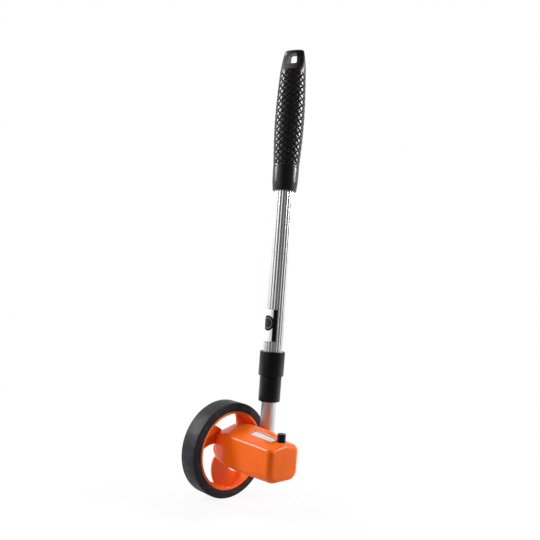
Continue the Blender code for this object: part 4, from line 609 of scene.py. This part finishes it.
orange_plastic = moulded_plastic(
    "orange_plastic", HOUSING_ORANGE, 0.22, ORANGE_RELIEF, ORANGE_STIPPLE, mottle=0.05, shine=0.22)
finish_piece("housing_moulding", housing_shell(), orange_plastic, "head",
             ["housing_shell"], edge_degrees=38.0)

# Window: a lens of clear acrylic on a ledge in the roof, a little below flush and with the roof's slope.
# Under it lies a mask of thin white plastic that lets some light through and has an opening for each digit.
MASK_WHITE = (0.93, 0.93, 0.925)
MASK_STIPPLE, MASK_RELIEF = 0.3 * MM, 0.004 * MM
THROUGH_SHARE = 0.6
LENS_TINT = (0.93, 0.96, 0.98)
SCUFF_WIDTH = 0.4 * MM
LENS_ALPHA_SHARES = (0.05, 0.75)


def clear_lens():
    """Clear acrylic: almost nothing where it is looked through, and more of it as the view grazes it."""
    material, tree, shader = new_material("clear_lens")
    scuffs = grain(tree, SCUFF_WIDTH, (6.0, 1.0, 1.0))
    feed(shader, Base_Color=(*LENS_TINT, 1.0), Roughness=ranged(tree, scuffs, 0.02, 0.1))
    grazing = add(tree, "LayerWeight", Blend=0.2).outputs["Fresnel"]
    feed(shader, Alpha=ranged(tree, grazing, *LENS_ALPHA_SHARES))
    return material


digit_white, thin_white = [
    moulded_plastic(name, MASK_WHITE, 0.4, MASK_RELIEF, MASK_STIPPLE, mottle=0.02, shine=0.5)
    for name in ("digit_white", "thin_white")]
mask_tree = thin_white.node_tree
glow = add(mask_tree, "BsdfTranslucent", Color=(*MASK_WHITE, 1.0))
through = add(mask_tree, "MixShader", Fac=THROUGH_SHARE, input_2=glow.outputs["BSDF"],
              input_1=mask_tree.nodes["Principled BSDF"].outputs["BSDF"])
feed(mask_tree.nodes["Material Output"], Surface=through.outputs["Shader"])
lens_sink = WINDOW_SINK + LENS_THICKNESS / 2.0
lens_points = [[(x, y, roof(x, y) - lens_sink) for x in np.linspace(*WINDOW_X, 15)]
               for y in np.linspace(*WINDOW_Y, 5)]
lens_mesh = sheet("window_pane", np.array(lens_points) + AXLE)
lens = finish_piece("window_pane", lens_mesh, clear_lens(), "head", ["window_lens"])
thick = lens.modifiers.new("thickness", "SOLIDIFY")
thick.thickness = LENS_THICKNESS
thick.offset = 0.0

# Digit wells: thin white walls moulded on the underside of the mask. They lead the eye down each opening to
# its drum and keep the light of one opening out of the next.
DRUMS = 5
DRUM_LEFT = 30.0 * MM
DRUM_PITCH = 5.8 * MM
DRUM_BAND = 3.8 * MM
DRUM_Y, DRUM_Z = 2.0 * MM, 14.2 * MM
DRUM_RADIUS = 7.0 * MM
WELL_MARGIN = 0.15 * MM
WELL_WALL = 0.3 * MM
WELL_EDGE = 1.9 * MM
WELL_SINK = 2.3 * MM
WELL_CLEARANCE = 0.35 * MM


def well_walls(left):
    """A ring of wall round one opening: its top follows the roof at a depth, and its bottom follows the
    drum's circle at a clearance, the height above the drum's axis being the root of what is left."""
    xs = np.linspace(left + WELL_MARGIN, left + DRUM_BAND - WELL_MARGIN, 8)
    ys = np.linspace(WINDOW_Y[0] + WELL_EDGE, WINDOW_Y[1] - WELL_EDGE, 12)
    ring = [(x, ys[0]) for x in xs] + [(xs[-1], y) for y in ys[1:]]
    ring += [(x, ys[-1]) for x in xs[::-1][1:]] + [(xs[0], y) for y in ys[::-1][1:-1]]
    ring = np.array(ring)
    reach = DRUM_RADIUS + WELL_CLEARANCE
    bottom = DRUM_Z + np.sqrt(reach ** 2 - (ring[:, 1] - DRUM_Y) ** 2)
    top = np.array([roof(x, y) for x, y in ring]) - WELL_SINK
    return np.stack([np.column_stack([ring, bottom]), np.column_stack([ring, top])]) + AXLE


def drum_left(number):
    """Where a drum's printed band begins: the drums stand at an even pitch, the first at the outer end."""
    return DRUM_LEFT + (DRUMS - number) * DRUM_PITCH


for number in range(1, DRUMS + 1):
    well_mesh = skin(f"digit_well_{number}", well_walls(drum_left(number)), "open")
    well = finish_piece(f"digit_well_{number}", well_mesh, thin_white, "head")
    wall = well.modifiers.new("wall", "SOLIDIFY")
    wall.thickness = WELL_WALL
    wall.offset = -1.0

# Digits: ten figures printed in black ink round each drum, which is a white plastic ring on the counter's
# shaft, with teeth beside the print. The drum at the outer end counts the least. All stand at nought.
DIGIT_HEIGHT = 3.9 * MM
TYPE_SIZE_SHARE = 1.4
DIGIT_PROUD = 0.03 * MM
DIGIT_INK = (0.01, 0.01, 0.012)
INK_SPOT = 0.3 * MM
READING_ANGLE = math.radians(111.0)


def digit_ring(left):
    """Ten digits as flat outlines, cut into strips and bent round the drum: their height becomes an angle,
    and each stands a tenth of a turn behind the last."""
    whole = bmesh.new()
    for digit in range(10):
        text = bpy.data.curves.new("digit", "FONT")
        text.body = str(digit)
        text.size = DIGIT_HEIGHT * TYPE_SIZE_SHARE
        text.align_x = "CENTER"
        text.align_y = "CENTER"
        text_object = placed("digit", text)
        graph = bpy.context.evaluated_depsgraph_get()
        flat = bpy.data.meshes.new_from_object(text_object.evaluated_get(graph))
        bpy.data.objects.remove(text_object, do_unlink=True)
        bm = bmesh.new()
        bm.from_mesh(flat)
        for height in np.linspace(-DIGIT_HEIGHT, DIGIT_HEIGHT, 17):
            geometry = [*bm.verts, *bm.edges, *bm.faces]
            bmesh.ops.bisect_plane(bm, geom=geometry, plane_co=(0.0, height, 0.0), plane_no=(0.0, 1.0, 0.0))
        bm.to_mesh(flat)
        bm.free()
        points = np.empty(len(flat.vertices) * 3)
        flat.vertices.foreach_get("co", points)
        points = points.reshape(-1, 3)
        radius = DRUM_RADIUS + DIGIT_PROUD
        angle = READING_ANGLE - TURN * digit / 10.0 - points[:, 1] / radius
        bent = np.stack([left + DRUM_BAND / 2.0 + points[:, 0], DRUM_Y + radius * np.cos(angle),
                         DRUM_Z + radius * np.sin(angle)], -1) + AXLE
        flat.vertices.foreach_set("co", bent.reshape(-1))
        whole.from_mesh(flat)
    mesh = bpy.data.meshes.new("digits")
    whole.to_mesh(mesh)
    whole.free()
    return mesh


def printing_ink():
    """Black pad-printed ink, slightly glossy and not quite even."""
    material, tree, shader = new_material("printing_ink")
    tone = graded(tree, grain(tree, INK_SPOT), [(0.3, DIGIT_INK), (0.7, shade(DIGIT_INK, 2.2))])
    feed(shader, Base_Color=tone, Roughness=0.4)
    return material


ink = printing_ink()
for number in range(1, DRUMS + 1):
    digits_mesh = digit_ring(drum_left(number))
    finish_piece(f"drum_digits_{number}", digits_mesh, ink, f"drum_{number}")

# Reset button: a black plastic cap moulded in one with its stem, with a rounded edge and a shallow dish in
# its top for the finger. It slides in a round hole of the roof, and a clip on the stem keeps it in.
BUTTON_RADIUS = 4.1 * MM
BUTTON_DISH_RADIUS, BUTTON_DISH_DEPTH = 2.7 * MM, 0.35 * MM
BUTTON_STEM = 1.7 * MM
BUTTON_LOW, BUTTON_SHOULDER, BUTTON_TOP = 5.9 * MM, 18.0 * MM, 31.7 * MM
BUTTON_ROUNDINGS = np.array([0.0, 0.3, 0.0, 0.3, 0.6, 2.0, 0.0]) * MM
button_profile = filleted(
    [(0.0, BUTTON_LOW), (BUTTON_STEM, BUTTON_LOW), (BUTTON_STEM, BUTTON_SHOULDER),
     (BUTTON_RADIUS, BUTTON_SHOULDER), (BUTTON_RADIUS, BUTTON_TOP), (BUTTON_DISH_RADIUS, BUTTON_TOP),
     (0.0, BUTTON_TOP - BUTTON_DISH_DEPTH)], BUTTON_ROUNDINGS)
button_place = (BUTTON_PLACE[0] + AXLE[0], BUTTON_PLACE[1] + AXLE[1], AXLE[2])
button_mesh = skin("reset_cap", turned(button_profile, 64, "Z", button_place), "open")
finish_piece("reset_cap", button_mesh, collar_plastic, "button", ["reset_button"])

# Reset spring: a small coil of steel wire round the button's stem. It stands on the counter's frame inside
# the housing, and the button presses it together from above.
SPRING_LOW, SPRING_HIGH = 10.3 * MM, 17.7 * MM
SPRING_RADIUS = 2.5 * MM
SPRING_WIRE = 0.25 * MM
SPRING_COILS = 4
STEEL_COLOUR = (0.56, 0.57, 0.59)
TARNISH_PATCH = 3.0 * MM
METAL_GLOSS_SPOT = 0.3 * MM
TOOL_MARK, TOOL_MARK_RELIEF = 0.15 * MM, 0.004 * MM


def worked_metal(name, colour, gloss):
    """Turned or pressed metal: fine working marks, slightly tarnished in patches."""
    material, tree, shader = new_material(name)
    stops = [(0.25, shade(colour, 0.82)), (0.7, shade(colour, 1.06))]
    feed(shader, Metallic=1.0, Base_Color=graded(tree, grain(tree, TARNISH_PATCH), stops))
    feed(shader, Roughness=ranged(tree, grain(tree, METAL_GLOSS_SPOT), gloss - 0.07, gloss + 0.1))
    bumped(tree, shader, grain(tree, TOOL_MARK), TOOL_MARK_RELIEF)
    return material


def spring_rings():
    """Circles of wire carried along a helix: the angle and the height grow evenly, and each circle stands
    square to the wire, on the radius and on what is square to both the radius and the wire."""
    turn = np.linspace(0.0, TURN * SPRING_COILS, SPRING_COILS * 32)[:, None]
    height = np.linspace(SPRING_LOW + SPRING_WIRE, SPRING_HIGH - SPRING_WIRE, len(turn))[:, None]
    climb = (SPRING_HIGH - SPRING_LOW - 2.0 * SPRING_WIRE) / (TURN * SPRING_COILS)
    length = math.hypot(SPRING_RADIUS, climb)
    round_wire = np.linspace(0.0, TURN, 12, endpoint=False)[None, :]
    out, over = SPRING_WIRE * np.cos(round_wire), SPRING_WIRE * np.sin(round_wire)
    x = (SPRING_RADIUS + out) * np.cos(turn) + over * np.sin(turn) * climb / length
    y = (SPRING_RADIUS + out) * np.sin(turn) - over * np.cos(turn) * climb / length
    z = height + over * SPRING_RADIUS / length
    return np.stack([x, y, z], -1) + np.array(button_place)


worked_steel = worked_metal("worked_steel", STEEL_COLOUR, 0.3)
spring = finish_piece("reset_coil", skin("reset_coil", spring_rings()), worked_steel, "head",
                      ["reset_spring"])
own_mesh(spring)

# Wheel: an orange moulding with a deep rim, three swept blades and a hub on the axle's end, inside a thick
# tyre of grey-black rubber. The tyre is stretched over the rim, where a rib in its groove keeps it in place.
TYRE_RADIUS = 48.5 * MM
TYRE_WIDTH = 21.5 * MM
TYRE_INSIDE = 40.3 * MM
TYRE_ROUNDINGS = np.array([0.5, 1.3, 1.3, 0.5, 0.0, 0.0, 0.0, 0.0]) * MM
RIM_RADIUS = 40.0 * MM
RIM_INSIDE = 37.5 * MM
RIM_ROUNDINGS = np.array([0.7, 0.3, 0.0, 0.2, 0.2, 0.0, 0.3, 0.7, 0.8, 1.0, 1.0, 0.8]) * MM
STEP_FRONT, WEB_FRONT, WEB_BACK, STEP_BACK = -8.5 * MM, -11.0 * MM, -15.5 * MM, -18.0 * MM
WEB_INSIDE = 36.0 * MM
RIB_RADIUS = 41.5 * MM
RIB_HALF_WIDTH = 2.0 * MM
RIB_GAP = 0.3 * MM
BLADES = 3
BLADE_FRONT, BLADE_BACK = -12.0 * MM, -15.0 * MM
BLADE_MIDDLE_DEGREES = (62.8, 15.0)
BLADE_HALF_WIDTH_DEGREES = (31.3, 26.6)
BLADE_ROOT_OVERLAP, BLADE_TIP_OVERLAP = 2.0 * MM, 0.6 * MM
BLADE_ROUNDING, BLADE_EDGE_ANGLE = 0.7 * MM, math.radians(50.0)
HUB_RADIUS = 11.0 * MM
HUB_FRONT, HUB_BACK = -10.5 * MM, -18.0 * MM
HUB_ROUNDINGS = np.array([0.3, 1.2, 1.2, 0.3]) * MM
AXLE_HOLE = 3.15 * MM
TYRE_GREY = (0.009, 0.0095, 0.014)
SCUFF_BLOTCH, SCUFF_DENT = 8.0 * MM, 0.25 * MM
TYRE_PIT, TYRE_PIT_DEPTH = 0.6 * MM, 0.05 * MM
# Painted light: the wheel's orange is the housing's orange painted brighter, standing in for the stronger
# light that falls on the wheel's rim and blades.
LIT_WHEEL_ORANGE = (0.88, 0.14, 0.016)


def tyre_profile():
    """The tyre's section: a flat tread with rounded shoulders, flat sides, and the groove inside."""
    groove_front = RIB_HALF_WIDTH + RIB_GAP - TYRE_WIDTH / 2.0
    groove_back = -RIB_HALF_WIDTH - RIB_GAP - TYRE_WIDTH / 2.0
    groove_radius = RIB_RADIUS + RIB_GAP
    return filleted(
        [(TYRE_INSIDE, -TYRE_WIDTH), (TYRE_RADIUS, -TYRE_WIDTH), (TYRE_RADIUS, 0.0), (TYRE_INSIDE, 0.0),
         (TYRE_INSIDE, groove_front), (groove_radius, groove_front), (groove_radius, groove_back),
         (TYRE_INSIDE, groove_back)], TYRE_ROUNDINGS, 6, closed=True)


def rolled_rubber(name):
    """Tyre rubber: cold dark grey, with scuffed blotches a few millimetres across and a fine pitted skin."""
    material, tree, shader = new_material(name)
    blotches = grain(tree, SCUFF_BLOTCH, (1.6, 1.0, 1.0), detail=6.0)
    stops = [(0.35, shade(TYRE_GREY, 0.7)), (0.55, TYRE_GREY), (0.72, shade(TYRE_GREY, 4.0))]
    feed(shader, Base_Color=graded(tree, blotches, stops), Specular_IOR_Level=0.25)
    feed(shader, Roughness=ranged(tree, blotches, 0.62, 0.38))
    dents = bumped(tree, shader, blotches, SCUFF_DENT)
    bumped(tree, shader, grain(tree, TYRE_PIT), TYRE_PIT_DEPTH, dents)
    return material


def rim_profile():
    """The rim's section: a lip, the rib that holds the tyre, and an inner wall with a step on each side down
    to the thick web that the blades grow from."""
    rib_front = RIB_HALF_WIDTH - TYRE_WIDTH / 2.0
    rib_back = -RIB_HALF_WIDTH - TYRE_WIDTH / 2.0
    return filleted(
        [(RIM_INSIDE, -TYRE_WIDTH), (RIM_RADIUS, -TYRE_WIDTH), (RIM_RADIUS, rib_back),
         (RIB_RADIUS, rib_back), (RIB_RADIUS, rib_front), (RIM_RADIUS, rib_front),
         (RIM_RADIUS, 0.0), (RIM_INSIDE, 0.0),
         (RIM_INSIDE, STEP_FRONT), (WEB_INSIDE, WEB_FRONT), (WEB_INSIDE, WEB_BACK), (RIM_INSIDE, STEP_BACK)],
        RIM_ROUNDINGS, 5, closed=True)


def blade_outline(middle):
    """A blade seen along the axle: its middle angle and half width fall evenly from the hub to the rim."""
    root, tip = HUB_RADIUS - BLADE_ROOT_OVERLAP, RIM_INSIDE + BLADE_TIP_OVERLAP
    outward = np.linspace(root, tip, 24)
    centre = math.pi - middle - np.radians(np.linspace(*BLADE_MIDDLE_DEGREES, 24))
    half = np.radians(np.linspace(*BLADE_HALF_WIDTH_DEGREES, 24))
    first, last = centre + half, centre - half
    tip_turn = np.linspace(first[-1], last[-1], 14)[1:-1]
    root_turn = np.linspace(last[0], first[0], 14)[1:-1]
    turn = np.concatenate([first, tip_turn, last[::-1], root_turn])
    radius = np.concatenate([outward, np.full(12, tip), outward[::-1], np.full(12, root)])
    return np.column_stack([radius * np.cos(turn), radius * np.sin(turn)])


tyre_rubber = rolled_rubber("tyre_rubber")
# A lit copy of the orange plastic for the wheel: its colour is painted brighter as painted light.
lit_wheel_plastic = moulded_plastic(
    "lit_wheel_plastic", LIT_WHEEL_ORANGE, 0.22, ORANGE_RELIEF, ORANGE_STIPPLE, mottle=0.05, shine=0.22)
tyre_mesh = skin("wheel_tyre", turned(tyre_profile(), 192, "X", AXLE), "joined")
finish_piece("wheel_tyre", tyre_mesh, tyre_rubber, "wheel", ["tyre"])
rim_mesh = skin("wheel_rim_ring", turned(rim_profile(), 192, "X", AXLE), "joined")
finish_piece("wheel_rim_ring", rim_mesh, lit_wheel_plastic, "wheel", ["wheel_rim"])
for number in range(BLADES):
    outline = blade_outline(TURN * number / BLADES)
    blade_mesh = skin(f"wheel_blade_{number + 1}", prism(outline, BLADE_BACK, BLADE_FRONT, "X", AXLE))
    blade = finish_piece(f"wheel_blade_{number + 1}", blade_mesh, lit_wheel_plastic, "wheel")
    edge = blade.modifiers.new("soft_edges", "BEVEL")
    edge.width = BLADE_ROUNDING
    edge.segments = 4
    edge.limit_method = "ANGLE"
    edge.angle_limit = BLADE_EDGE_ANGLE
    edge.use_clamp_overlap = True
hub_profile = filleted(
    [(AXLE_HOLE, HUB_BACK), (HUB_RADIUS, HUB_BACK), (HUB_RADIUS, HUB_FRONT), (AXLE_HOLE, HUB_FRONT)],
    HUB_ROUNDINGS, 6, closed=True)
hub_mesh = skin("wheel_hub", turned(hub_profile, 96, "X", AXLE), "joined")
finish_piece("wheel_hub", hub_mesh, lit_wheel_plastic, "wheel")

# Small metal and plastic works: turned steel shafts and screws, brass bushes and gear, the folded steel
# frame, and white plastic drums and gears. They keep their own shapes and get their finishes here.
BRASS_COLOUR = (0.78, 0.55, 0.22)
finishes = {
    "steel": worked_steel,
    "brass": worked_metal("worked_brass", BRASS_COLOUR, 0.28),
    "white_plastic": digit_white,
    "black_plastic": collar_plastic,
    "orange_plastic": orange_plastic,
    "aluminium": satin_aluminium,
}
for part in frame["record"]["subparts"]:
    node = frame["nodes"][part["node"]]
    if node.hide_render:
        continue
    node.data.materials.clear()
    finish = thin_white if part["node"] == "window_mask" else finishes[part["material_slot"]]
    node.data.materials.append(finish)

# Studio: a pale floor that goes with the head and fades into a white surround. The surround is dim towards
# and above the camera's side, which leaves dark streaks in the metal. Two tall soft lamps stand left and
# right, a weak one above, and a weak one in front that makes no highlight.
CAMERA_PLACE = Vector((461.15, -456.08, -173.33)) * MM
CAMERA_YAW, CAMERA_PITCH, CAMERA_ROLL = 0.8047, 0.024, 0.0735
CAMERA_LENS = 41.43
CAMERA_NEAR, CAMERA_FAR = 0.01, 20.0
FLOOR_HEIGHT = -394.1 * MM
FLOOR_HALF = 3.0
FLOOR_MIDDLE = (-10.0 * MM, -30.0 * MM, FLOOR_HEIGHT)
FLOOR_FADE = (0.1, 0.55)
FLOOR_SHADOW_SHARE = 0.12
CAMERA_SIDE = (0.71, -0.70, 0.0)
FLOOR_TURN = (-0.05, 0.25)
FLOOR_PALE = (0.8, 0.8, 0.8)
FLOOR_DIM = (0.14, 0.14, 0.14)
WHITE = (1.0, 1.0, 1.0, 1.0)
DIM_SIDE = (0.80, -0.40, 0.45)
SURROUND_SHARES = [(0.0, 1.0), (0.63, 1.0), (0.75, 0.4), (0.86, 0.1)]
AIM = Vector((-2.0 * MM, -10.0 * MM, -165.0 * MM))
LAMPS = {
    "left_lamp": ((-0.88, -0.68, 0.38), (0.35, 0.5), 12.5),
    "right_lamp": ((0.8, 0.88, 0.38), (0.35, 0.5), 18.5),
    "top_lamp": ((0.2, -0.5, 1.3), (0.8, 0.8), 0.8),
    "front_lamp": ((0.12, -1.1, -0.25), (0.4, 0.4), 3.2),
}

floor_corners = [(-FLOOR_HALF, -FLOOR_HALF), (FLOOR_HALF, -FLOOR_HALF), (FLOOR_HALF, FLOOR_HALF),
                 (-FLOOR_HALF, FLOOR_HALF)]
floor_mesh = mesh_of("studio_floor", [(x, y, FLOOR_HEIGHT) for x, y in floor_corners], [(0, 1, 2, 3)])
floor = placed("studio_floor", floor_mesh)
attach(floor, "head")
floor_paint, tree, floor_shader = new_material("floor_paint")
feed(floor_shader, Roughness=0.9, Specular_IOR_Level=0.0)
white = add(tree, "Emission", Strength=1.0, Color=WHITE)
seen = add(tree, "LightPath").outputs["Is Camera Ray"]
place = add(tree, "TexCoord").outputs["Object"]
towards = add(tree, "VectorMath", {"operation": "DOT_PRODUCT"}, input_0=place, input_1=CAMERA_SIDE)
spread = add(tree, "MapRange", Value=towards.outputs["Value"],
             From_Min=FLOOR_TURN[0], From_Max=FLOOR_TURN[1])
unseen = add(tree, "Math", {"operation": "SUBTRACT"}, input_0=1.0, input_1=seen)
dimmed = add(tree, "Math", {"operation": "MULTIPLY"},
             input_0=spread.outputs["Result"], input_1=unseen.outputs["Value"])
floor_tone = graded(tree, dimmed.outputs["Value"], [(0.0, FLOOR_PALE), (1.0, FLOOR_DIM)])
feed(floor_shader, Base_Color=floor_tone)
away = add(tree, "VectorMath", {"operation": "DISTANCE"}, input_0=place, input_1=FLOOR_MIDDLE)
fade = add(tree, "MapRange", Value=away.outputs["Value"], From_Min=FLOOR_FADE[0], From_Max=FLOOR_FADE[1],
           To_Min=1.0 - FLOOR_SHADOW_SHARE, To_Max=1.0)
washed = add(tree, "Math", {"operation": "MULTIPLY"}, input_0=seen, input_1=fade.outputs["Result"])
blend = add(tree, "MixShader", Fac=washed.outputs["Value"],
            input_1=floor_shader.outputs["BSDF"], input_2=white.outputs["Emission"])
feed(tree.nodes["Material Output"], Surface=blend.outputs["Shader"])
floor_mesh.materials.append(floor_paint)

surround = bpy.data.worlds.new("surround")
surround.use_nodes = True
bpy.context.scene.world = surround
tree = surround.node_tree
backdrop = feed(tree.nodes["Background"], Color=WHITE)
direction = add(tree, "TexCoord").outputs["Generated"]
facing = add(tree, "VectorMath", {"operation": "DOT_PRODUCT"}, input_0=direction, input_1=DIM_SIDE)
spread = add(tree, "MapRange", Value=facing.outputs["Value"], From_Min=-1.0)
levels = graded(tree, spread.outputs["Result"], [(share, (level,) * 3) for share, level in SURROUND_SHARES])
room = add(tree, "Background", Color=levels)
rays = add(tree, "LightPath")
either = add(tree, "Math", {"operation": "MAXIMUM"},
             input_0=rays.outputs["Is Camera Ray"], input_1=rays.outputs["Is Transmission Ray"])
blend = add(tree, "MixShader", Fac=either.outputs["Value"],
            input_1=room.outputs["Background"], input_2=backdrop.outputs["Background"])
feed(tree.nodes["World Output"], Surface=blend.outputs["Shader"])

for lamp_name, (place, size, power) in LAMPS.items():
    lamp = bpy.data.lights.new(lamp_name, "AREA")
    lamp.shape = "RECTANGLE"
    lamp.size, lamp.size_y = size
    lamp.energy = power
    lamp_object = placed(lamp_name, lamp)
    lamp_object.location = place
    lamp_object.visible_glossy = lamp_name != "front_lamp"
    lamp_object.rotation_euler = (AIM - Vector(place)).to_track_quat("-Z", "Y").to_euler()

forward = Vector((-math.sin(CAMERA_YAW) * math.cos(CAMERA_PITCH),
                  math.cos(CAMERA_YAW) * math.cos(CAMERA_PITCH), math.sin(CAMERA_PITCH)))
level = Vector((math.cos(CAMERA_YAW), math.sin(CAMERA_YAW), 0.0))
upright = level.cross(forward)
right = level * math.cos(CAMERA_ROLL) + upright * math.sin(CAMERA_ROLL)
up = upright * math.cos(CAMERA_ROLL) - level * math.sin(CAMERA_ROLL)
camera = bpy.data.cameras.new("camera")
camera.lens = CAMERA_LENS
camera.clip_start, camera.clip_end = CAMERA_NEAR, CAMERA_FAR
camera_object = placed("camera", camera)
camera_object.matrix_world = Matrix((
    (right.x, up.x, -forward.x, CAMERA_PLACE.x),
    (right.y, up.y, -forward.y, CAMERA_PLACE.y),
    (right.z, up.z, -forward.z, CAMERA_PLACE.z),
    (0.0, 0.0, 0.0, 1.0),
))
bpy.context.scene.camera = camera_object
bpy.context.scene.view_settings.view_transform = "Standard"
